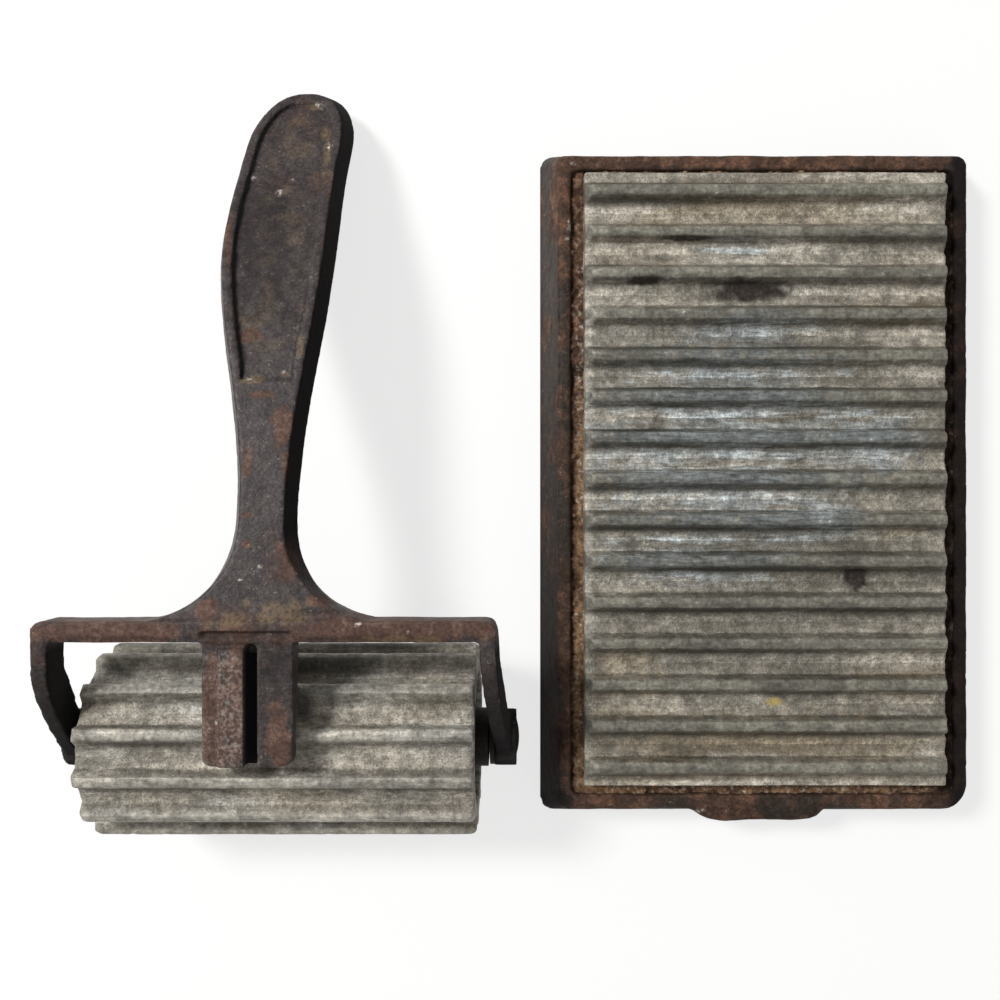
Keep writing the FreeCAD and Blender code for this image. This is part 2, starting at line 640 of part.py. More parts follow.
def panel_cutter():
    """The space above the sunk panel: the border's inner outline, down to the panel's floor."""
    front, back = handle_profiles()
    start = BAR_TOP + PANEL_START
    border = plan_points(SIDE_BEVEL + PANEL_BORDER, False)
    kept = [point for point in border if point.y > start + PANEL_CORNER]
    first = vec(kept[0].x - PANEL_CORNER / 20, start, 0)
    right = [first] + kept
    outline = [vec(skewed(point.x, point.y), point.y, 0) for point in right]
    outline += [vec(skewed(-point.x, point.y), point.y, 0) for point in reversed(right)]
    curve = Part.BSplineCurve()
    curve.interpolate(outline)
    plan = prism([curve.toShape(), line(outline[-1], outline[0])], vec(0, 0, FAR_BEYOND))
    floor = [vec(-FAR_BEYOND, 0, -PANEL_DEPTH) + front.value(front.FirstParameter),
             vec(-FAR_BEYOND, 0, -PANEL_DEPTH) + front.value(front.LastParameter)]
    sky = [vec(-FAR_BEYOND, floor[1].y, FAR_BEYOND), vec(-FAR_BEYOND, floor[0].y, FAR_BEYOND)]
    lowered = front.toShape().translated(vec(-FAR_BEYOND, 0, -PANEL_DEPTH))
    above = prism([lowered, line(floor[1], sky[0]), line(sky[0], sky[1]), line(sky[1], floor[0])],
                  vec(2 * FAR_BEYOND, 0, 0))
    return plan.common(above)


def lifter_outline():
    """The lifter from the front, with rounded lower corners."""
    left = LIFTER_SHIFT - LIFTER_WIDTH / 2
    right = LIFTER_SHIFT + LIFTER_WIDTH / 2
    tip = LIFTER_TIP_ABOVE_AXLE
    root = BAR_ABOVE_AXLE + BAR_THICKNESS / 2
    radius = LIFTER_CORNER_RADIUS
    cut_back = radius * (1 - math.sqrt(0.5))
    return [line(vec(left, root, 0), vec(left, tip + radius, 0)),
            arc(vec(left, tip + radius, 0), vec(left + cut_back, tip + cut_back, 0),
                vec(left + radius, tip, 0)),
            line(vec(left + radius, tip, 0), vec(right - radius, tip, 0)),
            arc(vec(right - radius, tip, 0), vec(right - cut_back, tip + cut_back, 0),
                vec(right, tip + radius, 0)),
            line(vec(right, tip + radius, 0), vec(right, root, 0)),
            line(vec(right, root, 0), vec(left, root, 0))]


def lifter_groove(front):
    """The deep groove down the lifter's front, open at the tip and arched at its top."""
    left = LIFTER_SHIFT + LIFTER_SLOT_OFFSET - LIFTER_SLOT_WIDTH / 2
    right = left + LIFTER_SLOT_WIDTH
    middle = (left + right) / 2
    tip = LIFTER_TIP_ABOVE_AXLE
    top = tip + LIFTER_SLOT_LENGTH
    spring = top - LIFTER_SLOT_WIDTH / 2
    floor = front - LIFTER_SLOT_DEPTH
    outline = [line(vec(left, tip - CUT_PAST, floor), vec(left, spring, floor)),
               arc(vec(left, spring, floor), vec(middle, top, floor), vec(right, spring, floor)),
               line(vec(right, spring, floor), vec(right, tip - CUT_PAST, floor)),
               line(vec(right, tip - CUT_PAST, floor), vec(left, tip - CUT_PAST, floor))]
    return prism(outline, vec(0, 0, FAR_BEYOND))


def lifter():
    """Grooved lifter that hangs from the bar in front of the roller, clear of its teeth."""
    front = FRAME_FRONT - LIFTER_FRONT_STEP
    tip = LIFTER_TIP_ABOVE_AXLE
    root = BAR_ABOVE_AXLE + BAR_THICKNESS / 2
    tip_back = AXLE_Z + TIP_RADIUS + LIFTER_TIP_CLEARANCE
    left = LIFTER_SHIFT - LIFTER_WIDTH
    side_view = [vec(left, root + CUT_PAST, front), vec(left, tip - CUT_PAST, front),
                 vec(left, tip - CUT_PAST, tip_back), vec(left, BAR_ABOVE_AXLE / 3, tip_back),
                 vec(left, root + CUT_PAST, FRAME_FRONT - LIFTER_ROOT_DEPTH)]
    plate = prism(lifter_outline(), vec(0, 0, FRAME_FRONT))
    plate = plate.common(polygon_prism(side_view, vec(2 * LIFTER_WIDTH, 0, 0)))
    rib_right = LIFTER_SHIFT + LIFTER_SLOT_OFFSET - LIFTER_SLOT_WIDTH / 2
    rib_left = rib_right - LIFTER_RIB_WIDTH
    crest = front + LIFTER_RIB_HEIGHT
    rib = polygon_prism([vec(rib_left, tip, tip_back), vec(rib_left, tip, front),
                         vec(rib_left + LIFTER_RIB_BEVEL, tip, crest),
                         vec(rib_right, tip, crest), vec(rib_right, tip, tip_back)],
                        vec(0, LIFTER_RIB_LENGTH, 0))
    return plate.fuse(rib).cut(lifter_groove(front))


def lifter_sink():
    """The step at the lifter's top, where its sunk front meets the front of the bar."""
    half = LIFTER_WIDTH / 2
    return block(LIFTER_SHIFT - half, LIFTER_SHIFT + half, BAR_ABOVE_AXLE + BAR_REBATE_HEIGHT / 2,
                 BAR_ABOVE_AXLE + LIFTER_SINK_ABOVE_BAR,
                 FRAME_FRONT - LIFTER_FRONT_STEP, FRAME_FRONT + CUT_PAST)


def handle_frame():
    """The one iron casting of the hand piece."""
    frame = cross_bar().fuse([fork_arm(1), fork_arm(-1), handle_body(), lifter()])
    frame = frame.removeSplitter()
    frame = frame.cut(panel_cutter()).cut(lifter_sink())
    return frame.cut(axle_cylinder(AXLE_RADIUS + AXLE_EYE_CLEARANCE, -FORK_WIDTH, FORK_WIDTH))


def single_solid(shape):
    """The one solid inside a shape that came out of cutting and joining."""
    solids = shape.Solids
    if len(solids) != 1:
        raise ValueError("a piece came out as %d solids" % len(solids))
    return solids[0]


def build():
    """Every piece under its name, in its place."""
    pieces = {"base_tray": base_tray(), "fluted_plate": fluted_plate()}
    names = ["plate_screw_far_left", "plate_screw_far_right",
             "plate_screw_near_left", "plate_screw_near_right"]
    for name, place in zip(names, screw_places()):
        pieces[name] = plate_screw(place[0], place[1])
    hand = {"handle_frame": handle_frame(), "roller_sleeve": roller_sleeve(),
            "roller_core": roller_core(), "axle_pin": axle_pin(),
            "axle_washer_left": axle_washer(-1), "axle_washer_right": axle_washer(1)}
    for name, shape in hand.items():
        pieces[name] = shape.translated(vec(HAND_X, HAND_Y, 0))
    return pieces


os.makedirs("parts", exist_ok=True)
for name, shape in build().items():
    single_solid(shape).exportStep("parts/" + name + ".step")
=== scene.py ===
# %% [markdown]
# A two-piece hand fluting iron, as found. An iron tray holds a fluted plate of cast white metal, and
# beside it lies the hand piece: an iron fork with a flat handle and a fluted roller. Starched cloth
# was pressed into frills between the two sets of flutes. Each step below says what a piece or a finish
# is on the real object, how it could be made, and why it was made this way.

# %% Load the built parts
import math

import bpy
import numpy as np
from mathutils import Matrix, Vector, noise


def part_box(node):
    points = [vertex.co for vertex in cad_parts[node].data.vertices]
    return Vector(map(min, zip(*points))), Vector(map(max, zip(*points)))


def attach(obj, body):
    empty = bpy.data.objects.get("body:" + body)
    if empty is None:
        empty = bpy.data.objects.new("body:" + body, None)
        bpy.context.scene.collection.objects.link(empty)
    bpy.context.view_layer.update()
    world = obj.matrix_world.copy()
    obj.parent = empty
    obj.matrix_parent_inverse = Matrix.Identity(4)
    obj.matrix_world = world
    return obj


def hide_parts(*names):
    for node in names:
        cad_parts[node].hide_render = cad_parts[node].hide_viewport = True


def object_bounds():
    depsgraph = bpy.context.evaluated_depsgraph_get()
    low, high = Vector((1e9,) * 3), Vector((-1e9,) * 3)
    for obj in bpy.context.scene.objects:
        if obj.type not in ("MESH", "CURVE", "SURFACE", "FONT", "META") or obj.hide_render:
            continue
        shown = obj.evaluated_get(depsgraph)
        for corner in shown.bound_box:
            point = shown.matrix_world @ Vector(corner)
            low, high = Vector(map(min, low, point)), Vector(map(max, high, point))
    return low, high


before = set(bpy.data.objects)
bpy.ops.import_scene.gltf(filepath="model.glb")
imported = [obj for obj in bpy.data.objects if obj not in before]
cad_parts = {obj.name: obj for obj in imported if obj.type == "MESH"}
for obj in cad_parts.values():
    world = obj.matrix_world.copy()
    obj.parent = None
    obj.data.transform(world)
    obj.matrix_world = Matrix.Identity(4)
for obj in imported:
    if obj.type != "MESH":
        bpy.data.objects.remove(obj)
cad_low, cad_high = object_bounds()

MM = 0.001
print("built parts:", len(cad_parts), "size in mm:",
      [round(edge / MM, 1) for edge in (cad_high - cad_low)])

# %% [markdown]
# The photograph looks straight down from about 23 cm, a little left of the tray, so the tray shows its
# left wall and hides its right one. A camera could be turned to frame the object, but then the walls
# would lean the wrong way. So the camera looks straight down, and its sensor is shifted sideways.

# %% Camera
CAMERA_X, CAMERA_Y, CAMERA_Z = -52.25, -3.97, 233.0
FOCAL_PX = 980
PHOTO_PX = 1000
AXIS_PX = 530
SENSOR_MM = 36

camera_data = bpy.data.cameras.new("overhead")
camera_data.sensor_width = SENSOR_MM
camera_data.lens = SENSOR_MM * FOCAL_PX / PHOTO_PX
camera_data.shift_x = (PHOTO_PX / 2 - AXIS_PX) / PHOTO_PX
camera_data.clip_start = 0.01
camera = bpy.data.objects.new("overhead", camera_data)
camera.location = Vector((CAMERA_X, CAMERA_Y, CAMERA_Z)) * MM
bpy.context.scene.collection.objects.link(camera)
bpy.context.scene.camera = camera
print("lens in mm:", round(camera_data.lens, 2))

# %% [markdown]
# A colour in a paint chart or a picture is an sRGB hex value, but a shader mixes light, which is linear.
# One function turns the first into the second. The next adds one node, links what feeds it and hands
# back one of its outputs, so that a finish reads as a list of what it is made of. A Map Range node's
# sockets are, in order: the value, its low and high end, and what these two become.

# %% Colour and node helpers
def linear(hex_colour):
    """An sRGB hex colour such as "8a7d6e" as the linear RGBA that shaders mix."""
    levels = [int(hex_colour[place:place + 2], 16) / 255 for place in (0, 2, 4)]
    light = [level / 12.92 if level <= 0.04045 else ((level + 0.055) / 1.055) ** 2.4 for level in levels]
    return light + [1.0]


def add(tree, kind, inputs, out=0, **settings):
    """Adds a node and returns one output; inputs are constants or the sockets that feed it."""
    node = tree.nodes.new("ShaderNode" + kind)
    for name, value in settings.items():
        setattr(node, name, value)
    for name, value in inputs.items():
        if isinstance(value, bpy.types.NodeSocket):
            tree.links.new(value, node.inputs[name])
        else:
            node.inputs[name].default_value = value
    return node.outputs[out] if node.outputs else None


def new_material(name):
    """An empty node material and its tree."""
    material = bpy.data.materials.new(name)
    material.use_nodes = True
    material.node_tree.nodes.clear()
    return material, material.node_tree


def laid_over(tree, ground, layers):
    """Lays thin coats over a ground colour: each has its colour and how much of it covers the last."""
    for colour, cover in layers:
        ground = add(tree, "MixRGB", {0: cover, 1: ground, 2: linear(colour)})
    return ground


def per_mm(size):
    """The texture scale at which one feature is about size millimetres across."""
    return 1 / (size * MM)


print("a mid grey of 808080 is", round(linear("808080")[0], 3), "of full light")

# %% [markdown]
# The object lies on a plain white table under a plain white sky. A backdrop could be lit until it turns
# white, but that light would bleach the object too. So the table is pale paint, and for the camera's own
# rays and for reflections part of it is a steady white glow, which keeps a soft shadow under the object.

# %% Table and sky
TABLE_HALF_SIZE = 3.0
TABLE_DROP = 0.02 * MM
WHITE_SHARE = 0.72
SKY_STRENGTH = 0.34


def straight_look(tree):
    """One where a ray comes from the camera or was mirrored or let through, and nought elsewhere."""
    camera_ray = add(tree, "LightPath", {}, "Is Camera Ray")
    mirrored = add(tree, "LightPath", {}, "Is Glossy Ray")
    let_through = add(tree, "LightPath", {}, "Is Transmission Ray")
    seen = add(tree, "Math", {0: camera_ray, 1: mirrored}, operation="MAXIMUM")
    return add(tree, "Math", {0: seen, 1: let_through}, operation="MAXIMUM")


bpy.ops.mesh.primitive_plane_add(size=2 * TABLE_HALF_SIZE, location=(0, 0, -TABLE_DROP))
table = bpy.context.object
table.name = "table"
table_paint, tree = new_material("matt_white_table")
paint = add(tree, "BsdfPrincipled", {"Base Color": linear("f2f1ee"), "Roughness": 0.9})
glow = add(tree, "Emission", {"Color": linear("ffffff"), "Strength": 1.0})
glow_share = add(tree, "Math", {0: straight_look(tree), 1: WHITE_SHARE}, operation="MULTIPLY")
add(tree, "OutputMaterial", {"Surface": add(tree, "MixShader", {0: glow_share, 1: paint, 2: glow})})
table.data.materials.append(table_paint)

sky = bpy.data.worlds.new("white_sky")
sky.use_nodes = True
sky.node_tree.nodes.clear()
tree = sky.node_tree
strength = add(tree, "MapRange", {0: straight_look(tree), 3: SKY_STRENGTH, 4: 1.0})
glow = add(tree, "Background", {"Color": linear("ffffff"), "Strength": strength})
add(tree, "OutputWorld", {"Surface": glow})
bpy.context.scene.world = sky
bpy.context.scene.view_settings.view_transform = "Standard"
print("white share of the table:", WHITE_SHARE, "sky:", SKY_STRENGTH)

# %% [markdown]
# In the photograph light falls from the upper left: every ridge is dark on its near flank, and the
# lifter throws a shadow to its right. A sun would cut that shadow too hard. A window would not, so the
# main lamp is a square about as wide, seen from the object, as a window across a room, and a weak wide
# lamp opposite keeps the dark sides readable.

# %% Lamps
KEY_PLACE = Vector((-0.78, 0.44, 0.98))
KEY_SIZE = 0.27
KEY_WATTS = 17.5
FILL_PLACE = Vector((0.55, -0.75, 0.9))
FILL_SIZE = 1.2
FILL_WATTS = 1.6


def soft_lamp(name, place, size, watts):
    """A square area lamp that faces the middle of the object."""
    lamp_data = bpy.data.lights.new(name, "AREA")
    lamp_data.shape = "SQUARE"
    lamp_data.size = size
    lamp_data.energy = watts
    lamp = bpy.data.objects.new(name, lamp_data)
    lamp.location = place
    middle = (cad_low + cad_high) / 2
    lamp.rotation_euler = (middle - place).to_track_quat("-Z", "Y").to_euler()
    bpy.context.scene.collection.objects.link(lamp)


soft_lamp("window_light", KEY_PLACE, KEY_SIZE, KEY_WATTS)
soft_lamp("fill_light", FILL_PLACE, FILL_SIZE, FILL_WATTS)
print("lamps:", [lamp.name for lamp in bpy.data.lights])

# %% [markdown]
# A net of points is easiest to work on as plain rows of numbers: one row for each point, in millimetres.
# These helpers read the rows, write them back, and keep one number on each point, which a material can
# read later. Noise with lumps of a real size makes the rows move as a casting does, never like a wave,
# and an offset reads that noise from another place, so that two kinds of lumps don't lie on each other.

# %% Reading and moving the points of a net
def points_of(piece):
    """Places in millimetres and normals of all points."""
    count = len(piece.data.vertices)
    places = np.empty(count * 3, np.float32)
    normals = np.empty(count * 3, np.float32)
    piece.data.vertices.foreach_get("co", places)
    piece.data.vertex_normals.foreach_get("vector", normals)
    return places.reshape(-1, 3).astype(float) / MM, normals.reshape(-1, 3).astype(float)


def put_points(piece, places):
    """Writes back places in millimetres."""
    piece.data.vertices.foreach_set("co", (places * MM).astype(np.float32).ravel())
    piece.data.update()


def keep_on_points(piece, name, values):
    """Stores one number per point for the materials."""
    layer = piece.data.attributes.new(name, "FLOAT", "POINT")
    layer.data.foreach_set("value", np.asarray(values, np.float32))


def rough(places, size, offset=0.0):
    """Smooth noise from about -1 to 1 at each place, with lumps of one size in millimetres."""
    start = Vector((offset, 1.7 * offset, 2.3 * offset))
    return np.array([noise.noise(Vector(place) / size + start) for place in places])


def ramp(values, low, high):
    """Nought below low, one above high, and straight between; low may be the larger of the two."""
    return np.clip((values - low) / (high - low), 0, 1)


def lumps(places, kind, offset=0.0):
    """Noise with a real height; kind is the height and the size of the lumps in millimetres."""
    height, size = kind
    return height * rough(places, size, offset)


def pits(places, kind, offset, low, high):
    """Hollows where the noise is above low, at their deepest above high; kind is their depth and size."""
    depth, size = kind
    return depth * ramp(rough(places, size, offset), low, high)


print("a ramp from 2 to 4 gives", ramp(np.array([1.0, 3.0, 5.0]), 2, 4))

# %% [markdown]
# Old castings have no sharp edges and no flat faces: the sand left a grain, handling rounded the
# corners, and rust lifted the skin. The built parts are sharp, so each one that shows is copied, its
# loose triangles are merged, and a remesh turns it into an even net whose corners come out round.
# Flutes run along x and change only across it, so their pieces are squeezed along x before the remesh
# and drawn out again after it, which spends the points where the shape needs them.

# %% Copying a part and giving it an even net
MERGE_DISTANCE = 0.002 * MM
KEPT_WHERE_HIDDEN = 0.06


def only(piece):
    """Selects one object and makes it the active one."""
    if bpy.context.object and bpy.context.object.mode != "OBJECT":
        bpy.ops.object.mode_set(mode="OBJECT")
    bpy.ops.object.select_all(action="DESELECT")
    piece.select_set(True)
    bpy.context.view_layer.objects.active = piece


def merged_copy(node, name):
    """A new object with a built part's mesh, its doubled points merged."""
    piece = bpy.data.objects.new(name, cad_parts[node].data.copy())
    piece.data.name = name
    piece.data.materials.clear()
    bpy.context.scene.collection.objects.link(piece)
    only(piece)
    bpy.ops.object.mode_set(mode="EDIT")
    bpy.ops.mesh.select_all(action="SELECT")
    bpy.ops.mesh.remove_doubles(threshold=MERGE_DISTANCE)
    bpy.ops.mesh.customdata_custom_splitnormals_clear()
    bpy.ops.object.mode_set(mode="OBJECT")
    return piece


def even_net(piece, cell, squeeze=1.0):
    """Remeshes a closed piece into a net with cells of some millimetres, longer along x if squeezed."""
    places, normals = points_of(piece)
    put_points(piece, places * (squeeze, 1, 1))
    only(piece)
    grid = piece.modifiers.new("even_net", "REMESH")
    grid.mode = "VOXEL"
    grid.voxel_size = cell * MM
    bpy.ops.object.modifier_apply(modifier=grid.name)
    places, normals = points_of(piece)
    put_points(piece, places / (squeeze, 1, 1))
    return piece


def thin_hidden(piece, chosen, kept_share=KEPT_WHERE_HIDDEN):
    """Thins out the net where nothing shows; chosen(places, normals) picks those points."""
    places, normals = points_of(piece)
    hidden = chosen(places, normals)
    group = piece.vertex_groups.new(name="hidden")
    group.add([int(index) for index in np.flatnonzero(hidden)], 1.0, "REPLACE")
    before = len(piece.data.polygons)
    only(piece)
    thinner = piece.modifiers.new("thin_hidden", "DECIMATE")
    thinner.vertex_group = group.name
    thinner.ratio = 1 - hidden.mean() * (1 - kept_share)
    bpy.ops.object.modifier_apply(modifier=thinner.name)
    piece.vertex_groups.clear()
    print(piece.name, "faces before and after thinning:", before, len(piece.data.polygons))


# %% [markdown]
# Wear follows shape: high edges are rubbed bare, and hollows keep dirt and are darkened with painted shade
# as well. A shader can guess this from the bend of the surface, but a mesh knows it exactly. So each
# point of the net measures how far it stands out from its neighbours, and the result is kept on the mesh
# for the materials to read.

# %% Edges, hollows and finishing a piece
SMOOTHING_PASSES = 2
WEAR_GAIN = 4


def neighbour_mean(piece, values):
    """Values averaged with those of the neighbouring points, a few times over."""
    count = len(piece.data.vertices)
    ends = np.empty(len(piece.data.edges) * 2, np.int32)
    piece.data.edges.foreach_get("vertices", ends)
    first, second = ends.reshape(-1, 2).T
    degree = np.bincount(first, minlength=count) + np.bincount(second, minlength=count)
    for turn in range(SMOOTHING_PASSES):
        total = np.bincount(first, values[second], count) + np.bincount(second, values[first], count)
        values = (values + total / np.maximum(degree, 1)) / 2
    return values


def mark_wear(piece, cell):
    """Stores how far each point stands out as an edge or lies in a hollow, from 0 to 1."""
    places, normals = points_of(piece)
    spread = np.stack([neighbour_mean(piece, places[:, axis]) for axis in range(3)], axis=1)
    stands_out = neighbour_mean(piece, ((places - spread) * normals).sum(axis=1) / cell)
    keep_on_points(piece, "edge", np.clip(stands_out * WEAR_GAIN, 0, 1))
    keep_on_points(piece, "hollow", np.clip(-stands_out * WEAR_GAIN, 0, 1))


def finish_piece(piece, body, slot, material, *nodes):
    """Shades a finished piece smoothly, gives it its material and says what it rides on and replaces."""
    only(piece)
    bpy.ops.object.shade_smooth()
    piece.data.materials.append(material)
    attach(piece, body)
    if nodes:
        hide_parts(*nodes)
    print(piece.name, "faces:", len(piece.data.polygons))


# %% [markdown]
# Stains and chips are single things, each at a place that only the photograph tells. They could be
# small pictures laid on the surface. Here each is an oval with a ragged border, given by where it shows
# in the photograph, in pixels, and kept on the points that it covers, so it stays on the surface when
# the object is turned. Only points that face the camera take a mark.

# %% Marks placed from the photograph
FACING_UP = 0.15
BORDER_SHARPNESS = 2.2
BORDER_OFFSET = 6


def in_photo(places):
    """Where points given in millimetres show in the photograph, in pixels across and down."""
    mm_per_pixel = (CAMERA_Z - places[:, 2]) / FOCAL_PX
    across = AXIS_PX + (places[:, 0] - CAMERA_X) / mm_per_pixel
    down = PHOTO_PX / 2 - (places[:, 1] - CAMERA_Y) / mm_per_pixel
    return across, down


def marks(places, normals, ovals, ragged=0.45, grain=2.2):
    """The strongest of some ovals at each point; an oval is its middle, half width and half height."""
    across, down = in_photo(places)
    unevenness = ragged * rough(places, grain, BORDER_OFFSET)
    strongest = np.zeros(len(places))
    for middle_across, middle_down, half_width, half_height in ovals:
        away = np.hypot((across - middle_across) / half_width, (down - middle_down) / half_height)
        strongest = np.maximum(strongest, np.clip(BORDER_SHARPNESS * (1 - away + unevenness), 0, 1))
    return strongest * ramp(normals[:, 2], 0, FACING_UP)


middle_of_table = np.array([[CAMERA_X, CAMERA_Y, 0.0]])
print("the point under the lens shows at:", [float(value[0]) for value in in_photo(middle_of_table)])

# %% [markdown]
# The tray and the hand piece are grey cast iron that was once blacked. Heat and damp have turned much of
# the skin to brown rust with scalloped borders, where the blacking peeled; a warmer bloom shows where the
# rust is young, and pale dust sits in the grain. It could be a painted picture, but noise at the real
# sizes of these things works from every side: patches of about a centimetre, bloom of a few millimetres,
# grain under one. Rust and old blacking are not bare metal, so the shader has no metal in it, and their
# pits swallow most of the shine that a smooth coat would have. Soot and the near-black painted shade,
# laid on where a side is turned from the light, swallow the rest.

# %% Rusted iron
PATCH_MM, BLOOM_MM, GRAIN_MM, SPECK_MM = 10, 2.4, 0.7, 0.5
RUST_PULL = 0.32
BLOOM_BLEND = 0.2
PEELED_BORDER = 0.014
PITTED_SHINE = 0.12
SHADE_AND_SOOT_ROUGHNESS = 0.95
IRON_MARKS = ("edge", "hollow", "rusting", "painted_shade_and_soot", "ochre", "pale_chips_and_sheen")
IRON_MOTTLES = (("grain", 0.66, 1.34), ("bloom", 0.74, 1.24), ("patch", 1.15, 0.85))


def rusted_iron(name, scale_colour, rust_colour, bloom_colour, bare_colour, ochre_colour, rust_from,
                rust_blend, bloom_from, dusty, roughness, grain_depth):
    """Iron with dark scale, brown rust patches, warmer bloom, rubbed edges and dust in the grain."""
    material, tree = new_material(name)
    place = add(tree, "TexCoord", {}, "Object")
    kinds = {"patch": (PATCH_MM, 8), "bloom": (BLOOM_MM, 6), "grain": (GRAIN_MM, 3), "speck": (SPECK_MM, 1)}
    on = {kind: add(tree, "TexNoise", {"Vector": place, "Scale": per_mm(size), "Detail": detail,
                                       "Roughness": 0.6, "Distortion": 0.25})
          for kind, (size, detail) in kinds.items()}
    mark = {kind: add(tree, "Attribute", {}, "Fac", attribute_name=kind) for kind in IRON_MARKS}
    pull = add(tree, "Math", {0: mark["rusting"], 1: RUST_PULL, 2: on["patch"]}, operation="MULTIPLY_ADD")
    rust = add(tree, "MapRange", {0: pull, 1: rust_from, 2: rust_from + rust_blend})
    off_border = add(tree, "Math", {0: pull, 1: rust_from}, operation="SUBTRACT")
    off_border = add(tree, "Math", {0: off_border}, operation="ABSOLUTE")
    border = add(tree, "MapRange", {0: off_border, 1: PEELED_BORDER / 3, 2: PEELED_BORDER, 3: 0.2, 4: 0})
    bloom = add(tree, "MapRange", {0: on["bloom"], 1: bloom_from, 2: bloom_from + BLOOM_BLEND})
    bloom = add(tree, "Math", {0: bloom, 1: rust}, operation="MULTIPLY")
    rubbed = add(tree, "MapRange", {0: on["bloom"], 1: 0.42, 2: 0.6, 3: 0.1, 4: 0.9})
    rubbed = add(tree, "Math", {0: rubbed, 1: add(tree, "MapRange", {0: mark["edge"], 1: 0.3, 2: 0.9})},
                 operation="MULTIPLY")
    dust = add(tree, "MapRange", {0: on["speck"], 1: 0.65, 2: 0.72, 3: 0, 4: dusty})
    dust = add(tree, "Math", {0: dust, 1: add(tree, "MapRange", {0: on["bloom"], 1: 0.45, 2: 0.6})},
               operation="MULTIPLY")
    crust = add(tree, "MapRange", {0: on["grain"], 1: 0.38, 2: 0.56, 3: 0.35, 4: 1})
    ochre = add(tree, "Math", {0: mark["ochre"], 1: crust}, operation="MULTIPLY", use_clamp=True)
    flaky = add(tree, "MapRange", {0: on["grain"], 1: 0.46, 2: 0.6, 3: 0.12, 4: 1})
    pale_chips_and_sheen = add(tree, "Math", {0: mark["pale_chips_and_sheen"], 1: flaky}, operation="MULTIPLY")
    colour = laid_over(tree, linear(scale_colour), [(rust_colour, rust), (bloom_colour, bloom)])
    for kind, darkest, lightest in IRON_MOTTLES:
        mottle = add(tree, "MapRange", {0: on[kind], 1: 0.35, 2: 0.65, 3: darkest, 4: lightest})
        colour = add(tree, "MixRGB", {0: 1.0, 1: colour, 2: mottle}, blend_type="MULTIPLY")
    # Hollows darken with dirt and with painted shade.
    hollow_dirt_and_shade = add(tree, "Math", {0: mark["hollow"], 1: 0.7}, operation="MULTIPLY")
    # The last, near-black layer is painted shade mixed with soot, wherever a piece is marked for it.
    colour = laid_over(tree, colour, [("15110f", border), (ochre_colour, ochre), (bare_colour, rubbed),
                                      ("978b7c", dust), ("c9c2b8", pale_chips_and_sheen), ("100c0a", hollow_dirt_and_shade),
                                      ("0d0b0b", mark["painted_shade_and_soot"])])
    height = add(tree, "Math", {0: on["bloom"], 1: 0.8, 2: on["grain"]}, operation="MULTIPLY_ADD")
    height = add(tree, "Math", {0: rust, 1: 0.12, 2: height}, operation="MULTIPLY_ADD")
    relief = add(tree, "Bump", {"Strength": 1.0, "Distance": grain_depth * MM, "Height": height})
    sheen = add(tree, "MapRange", {0: rust, 3: roughness, 4: min(roughness + 0.2, 0.9)})
    sheen = add(tree, "MapRange", {0: mark["painted_shade_and_soot"], 3: sheen, 4: SHADE_AND_SOOT_ROUGHNESS})
    iron = add(tree, "BsdfPrincipled", {"Base Color": colour, "Roughness": sheen, "IOR": 1.5,
                                        "Specular IOR Level": PITTED_SHINE, "Normal": relief})
    add(tree, "OutputMaterial", {"Surface": iron})
    print(name, "nodes:", len(tree.nodes))
    return material


tray_rust = rusted_iron("brown_rusted_cast_iron", "2e2620", "47352b", "5e4334", "77655a", "6b5538",
                        rust_from=0.5, rust_blend=0.14, bloom_from=0.47, dusty=0.45, roughness=0.5,
                        grain_depth=0.16)
black_scale = rusted_iron("blacked_cast_iron", "3a3433", "523e36", "5e4a40", "7d746b", "6e5c45",
                          rust_from=0.56, rust_blend=0.2, bloom_from=0.54, dusty=0.5, roughness=0.42,
                          grain_depth=0.1)
turned_rust = rusted_iron("rusted_turned_iron", "1b1715", "271f1b", "36271f", "4f443c", "4a3d2c",
                          rust_from=0.5, rust_blend=0.08, bloom_from=0.6, dusty=0.2, roughness=0.55,
                          grain_depth=0.1)

# %% [markdown]
# The plate and the roller's sleeve are white metal, a soft alloy of lead, tin and zinc that was poured
# onto the iron because it holds heat and doesn't rust. With age it dulls to a grey skin: darker and
# smoother on the ridge tops, where cloth rubbed it, and pale and crumbly in the valleys, where starch
# and oxide stayed. The steep flanks of every ridge are darkened, partly with grime and partly as painted
# shade; a painted shadow fades out into the valley on the near side of each ridge, where the ridge top
# also darkens with painted shade, and the valley's other half faces the window and gets a painted
# highlight, so it is the palest. All that repeats with the flutes,
# so it is drawn by how far a place is from its ridge: on the plate that is a distance along y, and on the
# sleeve an angle about the axle.

# %% How far a place is from its ridge
FLUTE_PITCH, TOOTH_COUNT = 9.07, 13
RIDGE_TOP_HALF, RIDGE_FOOT_HALF = 1.1, 2.2


def off_plate_ridge(tree, place, wander, middle_y):
    """Millimetres from the middle of the nearest ridge, more towards the far end, on the plate."""
    along = add(tree, "SeparateXYZ", {0: place}, "Y")
    along = add(tree, "Math", {0: along, 1: 1 / MM, 2: -middle_y}, operation="MULTIPLY_ADD")
    along = add(tree, "Math", {0: along, 1: wander}, operation="ADD")
    return add(tree, "Math", {0: along, 1: FLUTE_PITCH / 2, 2: -FLUTE_PITCH / 2}, operation="WRAP")


